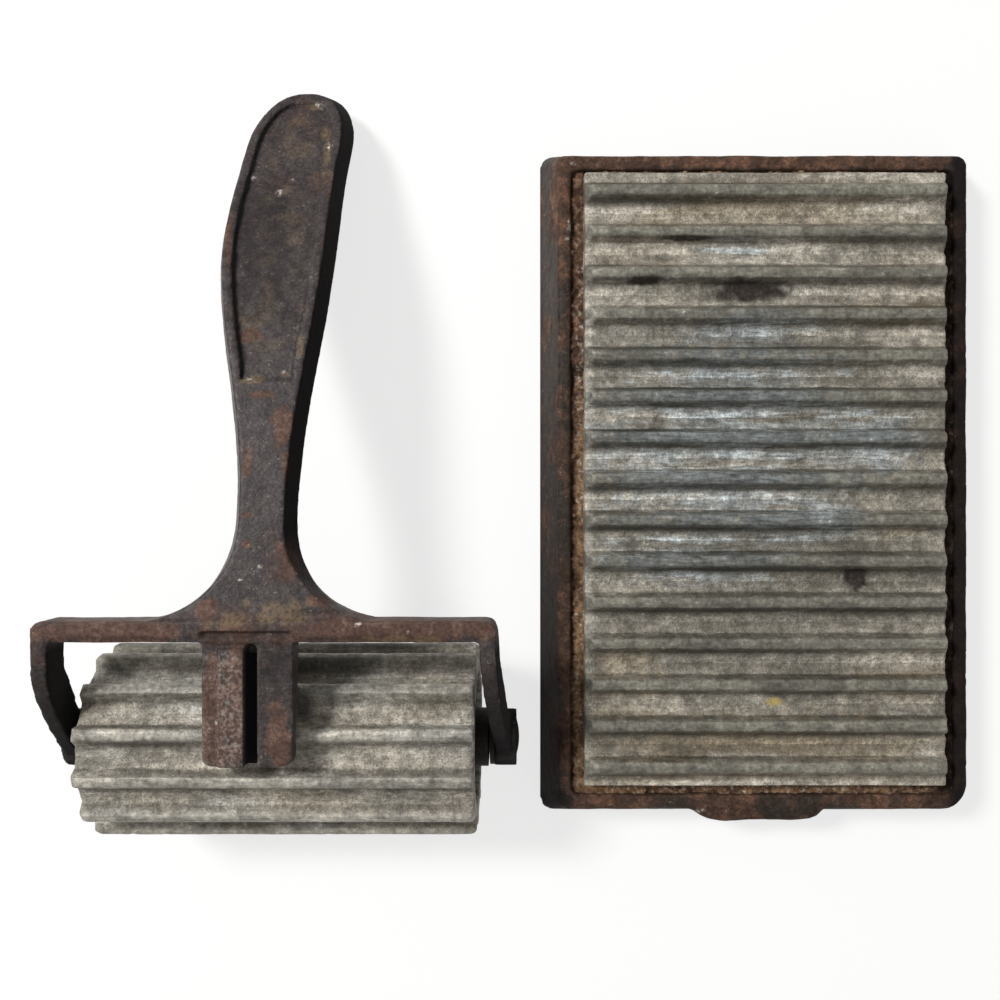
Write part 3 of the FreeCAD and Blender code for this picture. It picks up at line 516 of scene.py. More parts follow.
def off_sleeve_ridge(tree, place, wander, axle_y, axle_z, first_tooth):
    """Millimetres round the pitch circle from the middle of the nearest tooth of the sleeve."""
    y = add(tree, "SeparateXYZ", {0: place}, "Y")
    z = add(tree, "SeparateXYZ", {0: place}, "Z")
    y = add(tree, "Math", {0: y, 1: axle_y * MM}, operation="SUBTRACT")
    z = add(tree, "Math", {0: z, 1: axle_z * MM}, operation="SUBTRACT")
    angle = add(tree, "Math", {0: z, 1: y}, operation="ARCTAN2")
    angle = add(tree, "Math", {0: first_tooth, 1: angle}, operation="SUBTRACT")
    round_way = TOOTH_COUNT * FLUTE_PITCH / (2 * math.pi)
    round_way = add(tree, "Math", {0: angle, 1: round_way, 2: wander}, operation="MULTIPLY_ADD")
    return add(tree, "Math", {0: round_way, 1: FLUTE_PITCH / 2, 2: -FLUTE_PITCH / 2}, operation="WRAP")


print("flutes repeat every", FLUTE_PITCH, "mm")

# %% Dull white metal
CLOUD_MM, LUMP_MM, STREAK_MM, CRUST_MM, HAIR_MM, CRUMB_MM = 9, 3.2, 2.6, 1.0, 0.65, 0.36
STREAK_STRETCH = 0.14
SKIN_SHINE = 0.25
METAL_SHARE = 0.25
RELIEF_DEPTH = 0.24 * MM
METAL_MARKS = ("edge", "hollow", "warm", "cool", "pale", "dim_and_painted_shadow", "stain", "yellow")


def dull_white_metal(name, valley_colour, crest_colour, grime_and_shade_depth, off_ridge, *ridge_places):
    """White metal with a crumbly skin in its valleys, smooth crests, grime and painted shade by its ridges, a
    painted highlight in its valleys, and stains.
    """
    material, tree = new_material(name)
    place = add(tree, "TexCoord", {}, "Object")
    along = add(tree, "Mapping", {"Vector": place, "Scale": (STREAK_STRETCH, 1, 1)})
    kinds = {"cloud": (along, CLOUD_MM, 4), "streak": (along, STREAK_MM, 6), "hair": (along, HAIR_MM, 4),
             "lump": (place, LUMP_MM, 4), "crust": (place, CRUST_MM, 4), "crumb": (place, CRUMB_MM, 2)}
    on = {kind: add(tree, "TexNoise", {"Vector": vector, "Scale": per_mm(size), "Detail": detail,
                                       "Roughness": 0.62})
          for kind, (vector, size, detail) in kinds.items()}
    mark = {kind: add(tree, "Attribute", {}, "Fac", attribute_name=kind) for kind in METAL_MARKS}
    wander = add(tree, "MapRange", {0: on["streak"], 1: 0.2, 2: 0.8, 3: -0.3, 4: 0.3})
    away = off_ridge(tree, place, wander, *ridge_places)
    off_middle = add(tree, "Math", {0: away}, operation="ABSOLUTE")
    # The ridge flanks darken partly with grime and partly as painted shade.
    down_near = add(tree, "MapRange", {0: away, 1: -RIDGE_TOP_HALF * 0.8, 2: -RIDGE_TOP_HALF * 1.5})
    off_near = add(tree, "MapRange", {0: away, 1: -RIDGE_FOOT_HALF, 2: -RIDGE_FOOT_HALF * 1.6,
                                      3: grime_and_shade_depth, 4: 0})
    down_far = add(tree, "MapRange", {0: away, 1: RIDGE_TOP_HALF * 0.9, 2: RIDGE_TOP_HALF * 1.35})
    off_far = add(tree, "MapRange", {0: away, 1: RIDGE_FOOT_HALF * 0.9, 2: RIDGE_FOOT_HALF * 1.05,
                                     3: grime_and_shade_depth, 4: 0})
    grime_and_painted_shade = add(tree, "Math", {0: down_near, 1: off_near}, operation="MULTIPLY")
    grime_and_painted_shade = add(tree, "Math", {0: down_far, 1: off_far, 2: grime_and_painted_shade}, operation="MULTIPLY_ADD")
    patchy = add(tree, "MapRange", {0: on["cloud"], 1: 0.38, 2: 0.62, 3: 0.45, 4: 1.75})
    patchy = add(tree, "Math", {0: mark["cool"], 1: 0.5, 2: patchy}, operation="MULTIPLY_ADD")
    grime_and_painted_shade = add(tree, "Math", {0: grime_and_painted_shade, 1: patchy}, operation="MULTIPLY", use_clamp=True)
    on_crest = add(tree, "MapRange", {0: off_middle, 1: RIDGE_FOOT_HALF * 0.75, 2: RIDGE_TOP_HALF * 0.9})
    in_valley = add(tree, "MapRange", {0: off_middle, 1: RIDGE_FOOT_HALF * 0.8, 2: RIDGE_FOOT_HALF * 1.2})
    # A painted shadow of each ridge fades out into the valley on its near side.
    painted_ridge_shadow = add(tree, "MapRange", {0: away, 1: -RIDGE_FOOT_HALF * 2.05, 2: -RIDGE_FOOT_HALF * 1.1, 3: 0,
                                       4: grime_and_shade_depth * 0.7})
    painted_ridge_shadow = add(tree, "Math", {0: painted_ridge_shadow, 1: in_valley}, operation="MULTIPLY")
    painted_ridge_shadow = add(tree, "Math", {0: painted_ridge_shadow, 1: patchy}, operation="MULTIPLY", use_clamp=True)
    # A painted highlight lightens the valley's half that faces the window.
    before_next = add(tree, "Math", {0: away, 1: FLUTE_PITCH, 2: 0}, operation="WRAP")
    painted_valley_light = add(tree, "MapRange", {0: before_next, 1: FLUTE_PITCH * 0.55, 2: RIDGE_FOOT_HALF, 3: 0.1,
                                          4: 1.0})
    painted_valley_light = add(tree, "Math", {0: painted_valley_light, 1: in_valley}, operation="MULTIPLY")
    in_streaks = add(tree, "MapRange", {0: on["streak"], 1: 0.38, 2: 0.56})
    cool = add(tree, "Math", {0: mark["cool"], 1: in_streaks}, operation="MULTIPLY")
    in_clouds = add(tree, "MapRange", {0: on["cloud"], 1: 0.3, 2: 0.6})
    warm = add(tree, "Math", {0: mark["warm"], 1: in_clouds}, operation="MULTIPLY")
    colour = laid_over(tree, linear(valley_colour), [("aba497", painted_valley_light), ("938671", warm),
                                                     ("c3bcb0", mark["pale"]), ("abb1b1", cool)])
    crest = laid_over(tree, linear(crest_colour), [("616564", mark["cool"])])
    colour = add(tree, "MixRGB", {0: on_crest, 1: colour, 2: crest})
    # Painted shade darkens each ridge top towards its near side; the dim mark adds grime and painted shadow.
    painted_crest_shade = add(tree, "MapRange", {0: away, 1: RIDGE_TOP_HALF * 0.6, 2: -RIDGE_TOP_HALF * 0.8, 3: 0,
                                       4: grime_and_shade_depth * 0.6})
    painted_crest_shade = add(tree, "Math", {0: painted_crest_shade, 1: on_crest}, operation="MULTIPLY")
    colour = laid_over(tree, colour, [("48453d", painted_crest_shade), ("4c4a44", mark["dim_and_painted_shadow"])])
    drawn_share = add(tree, "MapRange", {0: mark["cool"], 3: 0.4, 4: 0.95})
    crumbs = add(tree, "MapRange", {0: on["crumb"], 1: 0.32, 2: 0.68, 3: 0.68, 4: 1.32})
    crest_crumbs = add(tree, "MapRange", {0: on["crumb"], 1: 0.3, 2: 0.7, 3: 0.86, 4: 1.14})
    crumbs = add(tree, "MixRGB", {0: on_crest, 1: crumbs, 2: crest_crumbs})
    colour = add(tree, "MixRGB", {0: 1.0, 1: colour, 2: crumbs}, blend_type="MULTIPLY")
    mottles = (("crust", 0.34, 0.68, 1.34, 1.0), ("hair", 0.34, 0.55, 1.45, drawn_share),
               ("cloud", 0.3, 1.22, 0.78, 1.0), ("lump", 0.36, 0.68, 1.34, 1.0))
    for kind, low, darkest, lightest, share in mottles:
        mottle = add(tree, "MapRange", {0: on[kind], 1: low, 2: 1 - low, 3: darkest, 4: lightest})
        colour = add(tree, "MixRGB", {0: share, 1: colour, 2: mottle}, blend_type="MULTIPLY")
    flecks = add(tree, "MapRange", {0: on["crust"], 1: 0.66, 2: 0.74, 3: 0, 4: 0.8})
    in_lumps = add(tree, "MapRange", {0: on["lump"], 1: 0.45, 2: 0.62})
    flecks = add(tree, "Math", {0: flecks, 1: in_lumps}, operation="MULTIPLY")
    worn = add(tree, "Math", {0: mark["edge"], 1: 0.22}, operation="MULTIPLY")
    # Hollows darken with dirt and with painted shade.
    dirt_and_shade_in_hollows = add(tree, "Math", {0: mark["hollow"], 1: 0.45}, operation="MULTIPLY")
    stained = add(tree, "MapRange", {0: on["crust"], 1: 0.3, 2: 0.6, 3: 1.0, 4: 0.85})
    stained = add(tree, "Math", {0: mark["stain"], 1: stained}, operation="MULTIPLY")
    colour = laid_over(tree, colour, [("4a453b", painted_ridge_shadow), ("37342c", grime_and_painted_shade), ("d5cfc4", flecks),
                                      ("b3aca0", worn), ("302e29", dirt_and_shade_in_hollows), ("a8945f", mark["yellow"]),
                                      ("1f1713", stained)])
    height = add(tree, "Math", {0: on["crust"], 1: 0.9, 2: on["crumb"]}, operation="MULTIPLY_ADD")
    height = add(tree, "Math", {0: on["lump"], 1: 2.2, 2: height}, operation="MULTIPLY_ADD")
    depth = add(tree, "MapRange", {0: on_crest, 3: 1.0, 4: 0.5})
    relief = add(tree, "Bump", {"Strength": depth, "Distance": RELIEF_DEPTH, "Height": height})
    sheen = add(tree, "MapRange", {0: on_crest, 3: 0.66, 4: 0.5})
    metal = add(tree, "BsdfPrincipled", {"Base Color": colour, "Metallic": METAL_SHARE, "Roughness": sheen,
                                         "Specular IOR Level": SKIN_SHINE, "Normal": relief})
    add(tree, "OutputMaterial", {"Surface": metal})
    print(name, "nodes:", len(tree.nodes))
    return material


# %% [markdown]
# The fluted plate was cast in a mould, so its flutes are even, but the ends of its ridges are lumpy and
# no valley is quite smooth. Pieces like this could be drawn as a curve pulled along a line; here the
# built plate is copied, because it already has every ridge in its place, and then it is worn: its net
# is moved by noise that is longer along the flutes, the crests get nicks, and the ridge ends on the right
# are gnawed a little. The squeezed remesh eats half a millimetre at both ends, which is given back.

# %% Fluted plate
PLATE_CELL, PLATE_SQUEEZE = 0.31, 0.3
DRAWN_LUMPS, ROUND_LUMPS, LONG_WAVES, NICKS = (0.07, 2.4), (0.06, 3.0), (0.09, 8), (0.22, 2.6)
ALONG_FLUTES = (0.2, 1, 1)
GNAW_DEPTH, GNAW_REACH, GNAW_MM = 0.8, 2.6, 2.1
END_LOSS = 0.45

plate_low, plate_high = [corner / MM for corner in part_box("fluted_plate")]
plate_middle_y = (plate_low.y + plate_high.y) / 2
plate = even_net(merged_copy("fluted_plate", "fluted_plate_worn"), PLATE_CELL, PLATE_SQUEEZE)
thin_hidden(plate, lambda places, normals: places[:, 2] < plate_low.z + 0.1)
places, normals = points_of(plate)
stretched = places * ALONG_FLUTES
on_top = ramp(places[:, 2], plate_low.z + 4, plate_low.z + 6)
shift = lumps(stretched, DRAWN_LUMPS) + lumps(places, ROUND_LUMPS, 5) + lumps(stretched, LONG_WAVES, 9)
shift -= pits(places, NICKS, 12, 0.35, 0.6) * ramp(places[:, 2], plate_high.z - 1, plate_high.z)
gnawed = ramp(plate_high.x - places[:, 0], GNAW_REACH, 0) * (0.1 + rough(places, GNAW_MM, 3))
shift -= GNAW_DEPTH * np.clip(gnawed, 0, 1)
shift += END_LOSS * ramp(np.abs(normals[:, 0]), 0.4, 0.8)
places += normals * (shift * on_top)[:, None]
put_points(plate, places)
mark_wear(plate, 2 * PLATE_CELL)
print("plate points:", len(places))

# %% [markdown]
# Age also leaves single marks: a beige cast near the far end, a bluish rubbed zone at the middle left, a
# brown spill between two ridges, one deep pit on the right and a yellow drop of resin below it. Broad soft
# zones make whole stretches of a valley a little paler or darker than the next.

# %% Marks on the plate
WARM_PLATE = [(770, 205, 210, 42), (650, 240, 90, 40), (905, 300, 60, 50), (760, 760, 220, 60),
              (620, 690, 60, 60), (905, 670, 60, 40), (880, 400, 40, 8), (900, 530, 30, 9)]
COOL_PLATE = [(725, 440, 150, 125), (700, 560, 110, 30), (760, 330, 70, 22), (790, 520, 90, 30),
              (870, 440, 60, 40), (640, 545, 50, 14), (735, 248, 40, 12)]
PALE_PLATE = [(589, 480, 6, 320), (765, 176, 185, 6), (765, 784, 185, 6), (760, 245, 75, 12),
              (640, 205, 50, 9), (690, 452, 90, 9), (650, 495, 60, 9), (760, 492, 60, 8), (622, 455, 30, 10),
              (730, 497, 50, 10), (900, 660, 60, 9), (905, 205, 40, 9), (870, 282, 80, 8), (740, 758, 60, 8),
              (615, 248, 26, 8)]
# Dim ovals: brown grime under some ridges and painted shade along some near flanks.
GRIME_AND_SHADE_ON_PLATE = [(745, 290, 50, 13), (700, 328, 60, 12), (660, 258, 24, 5), (870, 235, 50, 6),
             (850, 558, 60, 20), (800, 470, 60, 6), (640, 350, 50, 9), (720, 600, 60, 10), (790, 690, 40, 14),
             (700, 560, 60, 8), (830, 610, 60, 8), (645, 280, 18, 5), (720, 195, 40, 5), (690, 640, 60, 8),
             (820, 345, 80, 8)]
STAINS = [(745, 291, 50, 15), (643, 280, 24, 7), (690, 238, 34, 4)]
PIT = [(855, 576, 16, 9), (859, 583, 10, 9)]
PIT_DEPTH, PIT_STEEPNESS, PIT_GRAIN = 0.6, 1.6, 1.2
LIGHT_ZONES = [(608, 210, 28, 14), (680, 252, 120, 16), (612, 293, 36, 14), (868, 293, 100, 14),
               (612, 334, 38, 15), (895, 336, 62, 15), (912, 375, 46, 15), (660, 417, 90, 15),
               (605, 458, 26, 14), (660, 499, 110, 16), (900, 660, 60, 16), (922, 706, 34, 13)]
SHADE_ZONES = [(750, 610, 200, 90), (660, 330, 90, 30), (745, 334, 40, 13), (820, 458, 60, 13),
               (800, 537, 50, 16), (740, 706, 100, 14), (810, 788, 110, 10), (640, 740, 70, 40)]
LIGHT_SHARE, SHADE_SHARE = 0.5, 0.32
ZONE_RAGGED, ZONE_GRAIN = 0.7, 6
YELLOW_DROP = [(775, 701, 9, 5)]
PLATE_MARKS = {"warm": (WARM_PLATE, 1.0), "cool": (COOL_PLATE, 1.0), "pale": (PALE_PLATE, 0.62),
               "dim_and_painted_shadow": (GRIME_AND_SHADE_ON_PLATE, 0.5), "stain": (STAINS, 1.0), "yellow": (YELLOW_DROP, 1.0)}

places, normals = points_of(plate)
in_pit = np.clip(PIT_STEEPNESS * marks(places, normals, PIT, grain=PIT_GRAIN), 0, 1)
put_points(plate, places - normals * (PIT_DEPTH * in_pit)[:, None])
beneath = {"pale": LIGHT_SHARE * marks(places, normals, LIGHT_ZONES, ZONE_RAGGED, ZONE_GRAIN),
           "dim_and_painted_shadow": SHADE_SHARE * marks(places, normals, SHADE_ZONES, ZONE_RAGGED, ZONE_GRAIN),
           "stain": in_pit}
for mark_name, (ovals, share) in PLATE_MARKS.items():
    strength = np.maximum(share * marks(places, normals, ovals), beneath.get(mark_name, 0))
    keep_on_points(plate, mark_name, strength)
    print(mark_name, "covers", round(float((strength > 0.5).mean()) * 100, 1), "% of the points")

plate_metal = dull_white_metal("dull_white_metal_plate", "827d72", "6e6b61", 0.45,
                               off_plate_ridge, plate_middle_y)
finish_piece(plate, "base", "white_metal", plate_metal, "fluted_plate")

# %% [markdown]
# The tray is a heavy casting: a thick floor that stores heat, sloping walls, a narrow rim and a lip on
# the near wall where the lifter hooks in. Its rim is rubbed and the brownest, above all at the far end;
# the left wall turns darker towards the near end, the foot and a few patches are darker, and the right
# side, away from the window, is darkened with painted shade.
# Sand casting leaves long waves, a finer grain and small pits; one function moves any iron casting so.

# %% Base tray
TRAY_CELL = 0.56
TRAY_WAVES, TRAY_GRAIN, TRAY_PITS = (0.13, 8), (0.08, 2.4), (0.14, 1.6)


def cast_skin(places, waves, grain, holes, low, high):
    """How far the skin of an iron casting stands out: long waves and a grain, less small pits."""
    return lumps(places, waves) + lumps(places, grain, 4) - pits(places, holes, 8, low, high)


tray_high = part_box("base_tray")[1] / MM
tray = even_net(merged_copy("base_tray", "base_tray_cast"), TRAY_CELL)


def hidden_in_tray(places, normals):
    """The underside and the floor below the plate."""
    under = (normals[:, 2] < -0.98) & (places[:, 2] < 0.2)
    across = (places[:, 0] > plate_low.x) & (places[:, 0] < plate_high.x)
    along = (places[:, 1] > plate_low.y) & (places[:, 1] < plate_high.y)
    return under | (across & along & (normals[:, 2] > 0.98) & (places[:, 2] < tray_high.z - 3))


thin_hidden(tray, hidden_in_tray)
places, normals = points_of(tray)
above_foot = ramp(places[:, 2], 0, 2)
shift = cast_skin(places, TRAY_WAVES, TRAY_GRAIN, TRAY_PITS, 0.3, 0.7)
places += normals * (shift * above_foot)[:, None]
put_points(tray, places)
mark_wear(tray, TRAY_CELL)
print("tray points:", len(places))

# %% Wear, darkening and painted shade on the tray
CHIPS = [(570, 227, 3.4, 8), (567, 238, 2.6, 3), (700, 811, 5, 1.6), (573, 165, 2, 1.5)]
RUST_ON_TRAY = [(750, 160, 200, 8), (600, 160, 40, 8), (560, 200, 14, 40), (573, 640, 5, 120)]
DARK_PATCHES_ON_TRAY = [(765, 813, 66, 12), (945, 800, 30, 12), (560, 800, 20, 12)]
OCHRE_ON_TRAY = [(576, 640, 3, 100), (577, 480, 2.4, 60)]
RIGHT_RIM_X, LEFT_WALL_X = (41.5, 43), (-43, -46)
RIM_RUST, MARKED_RUST, DRIFTING_RUST = 0.25, 0.8, 0.2
LEFT_WALL_DARKENING, RIGHT_PAINTED_SHADE, FOOT_DARKENING, MARKED_DARKENING, MOST_DARKENING = 0.78, 0.85, 0.3, 0.5, 0.9

places, normals = points_of(tray)
on_rim = ramp(places[:, 2], tray_high.z - 1.4, tray_high.z - 0.4)
right_side = ramp(places[:, 0], *RIGHT_RIM_X)
left_wall = ramp(places[:, 0], *LEFT_WALL_X)
toward_near = ramp(places[:, 1], 40, -40)
rusting = RIM_RUST * on_rim + MARKED_RUST * marks(places, normals, RUST_ON_TRAY)
rusting = rusting + DRIFTING_RUST * rough(places, 20)
# The right side, turned from the light, is darkened as painted shade; the left wall towards the near end, the
# foot and a few patches are darker too.
painted_shade_and_soot = LEFT_WALL_DARKENING * left_wall * toward_near + RIGHT_PAINTED_SHADE * right_side + FOOT_DARKENING * ramp(places[:, 2], 2.5, 0)
painted_shade_and_soot = painted_shade_and_soot + MARKED_DARKENING * marks(places, normals, DARK_PATCHES_ON_TRAY)
rubbed_off = 0.3 * on_rim * (1 - right_side)
keep_on_points(tray, "rusting", np.clip(rusting, 0, 1))
keep_on_points(tray, "painted_shade_and_soot", np.clip(painted_shade_and_soot * (1 - rubbed_off), 0, MOST_DARKENING))
keep_on_points(tray, "ochre", 0.6 * marks(places, normals, OCHRE_ON_TRAY))
keep_on_points(tray, "pale_chips_and_sheen", marks(places, normals, CHIPS, ragged=0.7, grain=0.9))
finish_piece(tray, "base", "tray_iron", tray_rust, "base_tray")

# %% [markdown]
# Between the plate and the tray's wall, rust flakes, dust and crumbs of old starch have packed into a
# crust. It could be many small grains, but only its top shows, so it is one ring: a slab whose middle is
# cut out where the plate stands, with a net fine enough to be heaped up unevenly.

# %% Crust in the gap round the plate
CRUST_CELL = 0.38
CRUST_SINK = 1.5
CRUST_HEAP, CRUST_LOWEST, CRUST_HIGHEST = 0.75, -0.9, 1.0
CRUST_CLODS, CRUST_CRUMBS, CRUST_GRAINS = (1.1, 4), (0.7, 1.1), (0.4, 0.6)
CRUST_KEPT = 0.05
FLOOR_Z = 9.0
UNDER_WALL = 0.3
UNDER_PLATE = 1.6
CAVITY_HALF_X, CAVITY_HALF_Y = 43.05, 70.1

bpy.ops.object.select_all(action="DESELECT")
bpy.ops.mesh.primitive_cube_add(size=1, location=(0, 0, 0))
crust = bpy.context.object
crust.name = "crust_in_gap"
crust_top = tray_high.z - CRUST_SINK
bpy.ops.transform.resize(value=(2 * (CAVITY_HALF_X + UNDER_WALL) * MM,
                                2 * (CAVITY_HALF_Y + UNDER_WALL) * MM,
                                (crust_top - FLOOR_Z) * MM))
bpy.ops.transform.translate(value=(0, 0, (crust_top + FLOOR_Z) / 2 * MM))
bpy.ops.object.transform_apply(location=True, rotation=True, scale=True)
bpy.ops.mesh.primitive_cube_add(size=1, location=(0, 0, 0))
hole = bpy.context.object
bpy.ops.transform.resize(value=((plate_high.x - plate_low.x - 2 * UNDER_PLATE) * MM,
                                (plate_high.y - plate_low.y - 2 * UNDER_PLATE) * MM, 4 * crust_top * MM))
bpy.ops.transform.translate(value=(0, plate_middle_y * MM, 0))
bpy.ops.object.transform_apply(location=True, rotation=True, scale=True)
only(crust)
cut = crust.modifiers.new("cut", "BOOLEAN")
cut.operation = "DIFFERENCE"
cut.object = hole
bpy.ops.object.modifier_apply(modifier=cut.name)
bpy.data.objects.remove(hole)
even_net(crust, CRUST_CELL)
thin_hidden(crust, lambda places, normals: places[:, 2] < crust_top - 0.3, CRUST_KEPT)
places, normals = points_of(crust)
heap = 0.3 + lumps(places, CRUST_CLODS, 2) + lumps(places, CRUST_CRUMBS, 7) + lumps(places, CRUST_GRAINS, 9)
heap = np.clip(CRUST_HEAP * heap, CRUST_LOWEST, CRUST_HIGHEST)
places[:, 2] += heap * ramp(places[:, 2], crust_top - 0.4, crust_top - 0.1)
put_points(crust, places)
mark_wear(crust, CRUST_CELL)
print("crust points:", len(places), "top at", round(crust_top, 1), "mm")

# %% [markdown]
# The crust is brown at the far end and tan along the left and near sides, with pale crumbs of starch in
# it; on the right and beside the walls it is darkened with painted shade. Its finish is the iron's, with much
# more dust in it.

# %% Finish of the crust
OCHRE_ON_CRUST = [(581, 480, 6, 110), (579, 690, 8, 130), (620, 786, 70, 8), (800, 787, 160, 6)]
PALE_CRUMBS = [(580, 400, 6, 160), (579, 690, 6, 110), (580, 700, 5, 80), (760, 788, 190, 6)]
GAP_RUST, GAP_OCHRE, GAP_CRUMBS, GAP_PAINTED_SHADE, WALL_PAINTED_SHADE = 0.3, 0.85, 0.7, 0.75, 0.55

gap_crust = rusted_iron("packed_rust_and_dust", "2d211a", "4a362b", "6a5140", "ab967f", "86694b",
                        rust_from=0.42, rust_blend=0.1, bloom_from=0.42, dusty=0.8, roughness=0.8,
                        grain_depth=0.3)
places, normals = points_of(crust)
beside_wall = ramp(np.abs(places[:, 0]), CAVITY_HALF_X - 1.4, CAVITY_HALF_X - 0.4)
keep_on_points(crust, "rusting", np.full(len(places), GAP_RUST))
keep_on_points(crust, "ochre", GAP_OCHRE * marks(places, normals, OCHRE_ON_CRUST, ragged=0.9))
# Painted shade on the right side and beside the walls.
keep_on_points(crust, "painted_shade_and_soot", np.maximum(GAP_PAINTED_SHADE * ramp(places[:, 0], 38, 40), WALL_PAINTED_SHADE * beside_wall))
bright_grains = ramp(rough(places, 0.8, 4), 0.1, 0.4) * marks(places, normals, PALE_CRUMBS, ragged=0.8)
keep_on_points(crust, "pale_chips_and_sheen", GAP_CRUMBS * bright_grains)
finish_piece(crust, "base", "tray_iron", gap_crust)

# %% [markdown]
# The hand piece is one thin iron casting: a fork with two leaning arms, a cross bar, a lifter with a
# groove and a rib that hangs over the roller, and a flat handle that bends down to the table, with a sunk
# panel in its front. It carries more of its old blacking than the tray does; its bar and the rib are the
# rustiest parts. The right bevel of the handle and the other faces turned from the light, the sides of
# the arms and the lifter's groove are darkened near-black with painted shade.

# %% Hand piece casting
HANDLE_CELL = 0.46
HANDLE_WAVES, HANDLE_GRAIN, HANDLE_PITS = (0.09, 6), (0.03, 1.8), (0.1, 1.3)
CLEAR_OF_AXLE = 3.9

frame_low, frame_high = [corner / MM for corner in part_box("handle_frame")]
pin_low, pin_high = [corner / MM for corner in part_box("axle_pin")]
axle_y, axle_z = (pin_low.y + pin_high.y) / 2, (pin_low.z + pin_high.z) / 2
handle = even_net(merged_copy("handle_frame", "handle_frame_cast"), HANDLE_CELL)
places, normals = points_of(handle)
shift = cast_skin(places, HANDLE_WAVES, HANDLE_GRAIN, HANDLE_PITS, 0.45, 0.8)
lifted = ramp(places[:, 2], 0.6, 2.6)
off_axle = ramp(np.hypot(places[:, 1] - axle_y, places[:, 2] - axle_z), CLEAR_OF_AXLE, CLEAR_OF_AXLE + 2)
places += normals * (shift * lifted * off_axle)[:, None]
put_points(handle, places)
mark_wear(handle, HANDLE_CELL)
print("handle points:", len(places), "axle at", round(axle_y, 2), round(axle_z, 3))

# %% Wear on the hand piece
RUST_ON_HANDLE = [(110, 632, 80, 16), (400, 630, 90, 16), (282, 425, 14, 26), (288, 468, 9, 18),
                  (247, 460, 9, 20), (249, 515, 8, 5), (246, 545, 7, 5), (288, 560, 11, 24),
                  (332, 260, 5, 90), (262, 395, 14, 5), (215, 720, 18, 60), (238, 700, 14, 75),
                  (279, 735, 16, 40), (228, 240, 5, 40), (250, 335, 16, 8), (205, 610, 16, 12),
                  (320, 600, 16, 8), (212, 690, 12, 50)]
SHADOWS_AND_SOOT_ON_HANDLE = [(250, 640, 50, 7), (275, 665, 18, 22), (320, 612, 30, 5), (262, 240, 40, 90)]
OCHRE_ON_HANDLE = [(253, 379, 13, 4), (284, 373, 6, 4), (275, 612, 34, 12), (230, 622, 26, 7),
                   (327, 150, 5, 26), (300, 345, 4, 14), (316, 107, 6, 4), (412, 640, 60, 4)]
OCHRE_IN_PANEL = [(284, 215, 26, 60), (262, 320, 26, 40), (300, 140, 18, 30)]
CHIPS_ON_HANDLE = [(279, 193, 3.5, 3), (252, 178, 2.4, 3), (292, 180, 2, 1.4), (283, 372, 2.4, 1.6),
                   (280, 305, 3, 1.6), (239, 580, 3, 1), (259, 567, 2, 1.5), (261, 575, 1.6, 1.4),
                   (360, 624, 4, 1.6), (217, 722, 1.6, 1.6), (238, 748, 3, 2.4), (408, 633, 3, 1.2),
                   (329, 146, 1.6, 4), (250, 379, 6, 1.4), (318, 105, 2.6, 2)]
PAINTED_SHADE_ON_SIDES, SHADOW_AND_SMUDGE_SHARE, BAR_RUST = 0.95, 0.35, 0.55
PANEL_OCHRE, SPOT_OCHRE, CHIPPED_SHARE = 0.3, 0.7, 0.9
LIFTER_DUST_AND_SHEEN, RIB_DUST_AND_SHEEN, DRIFTING_DUST_AND_SHEEN = 0.06, 0.1, 0.16
BAR_FRONT_FROM, BAR_FRONT_TO = (23, 25), (32, 29)
ARMS_BELOW, SIDE_ABOVE, LIFTER_BELOW = (25, 22), (30, 45), (22.5, 21.5)
ARMS_OFF_MIDDLE = (38, 41)
LIFTER_SHIFT, LIFTER_HALF_WIDTH, LIFTER_FRONT_STEP = -3.35, 8.8, 1.2
GROOVE_SHIFT, GROOVE_HALF_WIDTH = 0.7, 1.2
RIB_LEFT, RIB_RIGHT, SHEEN_FADES_RIGHT = (-6.2, -5.4), (0.2, -0.6), (3, 0)

places, normals = points_of(handle)
above_axle = places[:, 1] - axle_y
across_fork = places[:, 0] - (frame_low.x + frame_high.x) / 2
on_bar_front = ramp(above_axle, *BAR_FRONT_FROM) * ramp(above_axle, *BAR_FRONT_TO)
arm_side = ramp(above_axle, *ARMS_BELOW) * ramp(np.abs(across_fork), *ARMS_OFF_MIDDLE)
right_face = ramp(normals[:, 0], 0.2, 0.55) * ramp(above_axle, *SIDE_ABOVE)
rusting = marks(places, normals, RUST_ON_HANDLE) + BAR_RUST * on_bar_front
keep_on_points(handle, "rusting", np.clip(rusting, 0, 1))
lifter_front = frame_high.z - LIFTER_FRONT_STEP
along_lifter = across_fork - LIFTER_SHIFT
on_lifter = ramp(np.abs(along_lifter), LIFTER_HALF_WIDTH + 1, LIFTER_HALF_WIDTH)
on_lifter = on_lifter * ramp(above_axle, *LIFTER_BELOW)
off_groove = np.abs(along_lifter - GROOVE_SHIFT)
in_groove = on_lifter * ramp(off_groove, GROOVE_HALF_WIDTH + 0.6, GROOVE_HALF_WIDTH + 0.1)
in_groove = in_groove * ramp(places[:, 2], lifter_front - 0.2, lifter_front - 1)
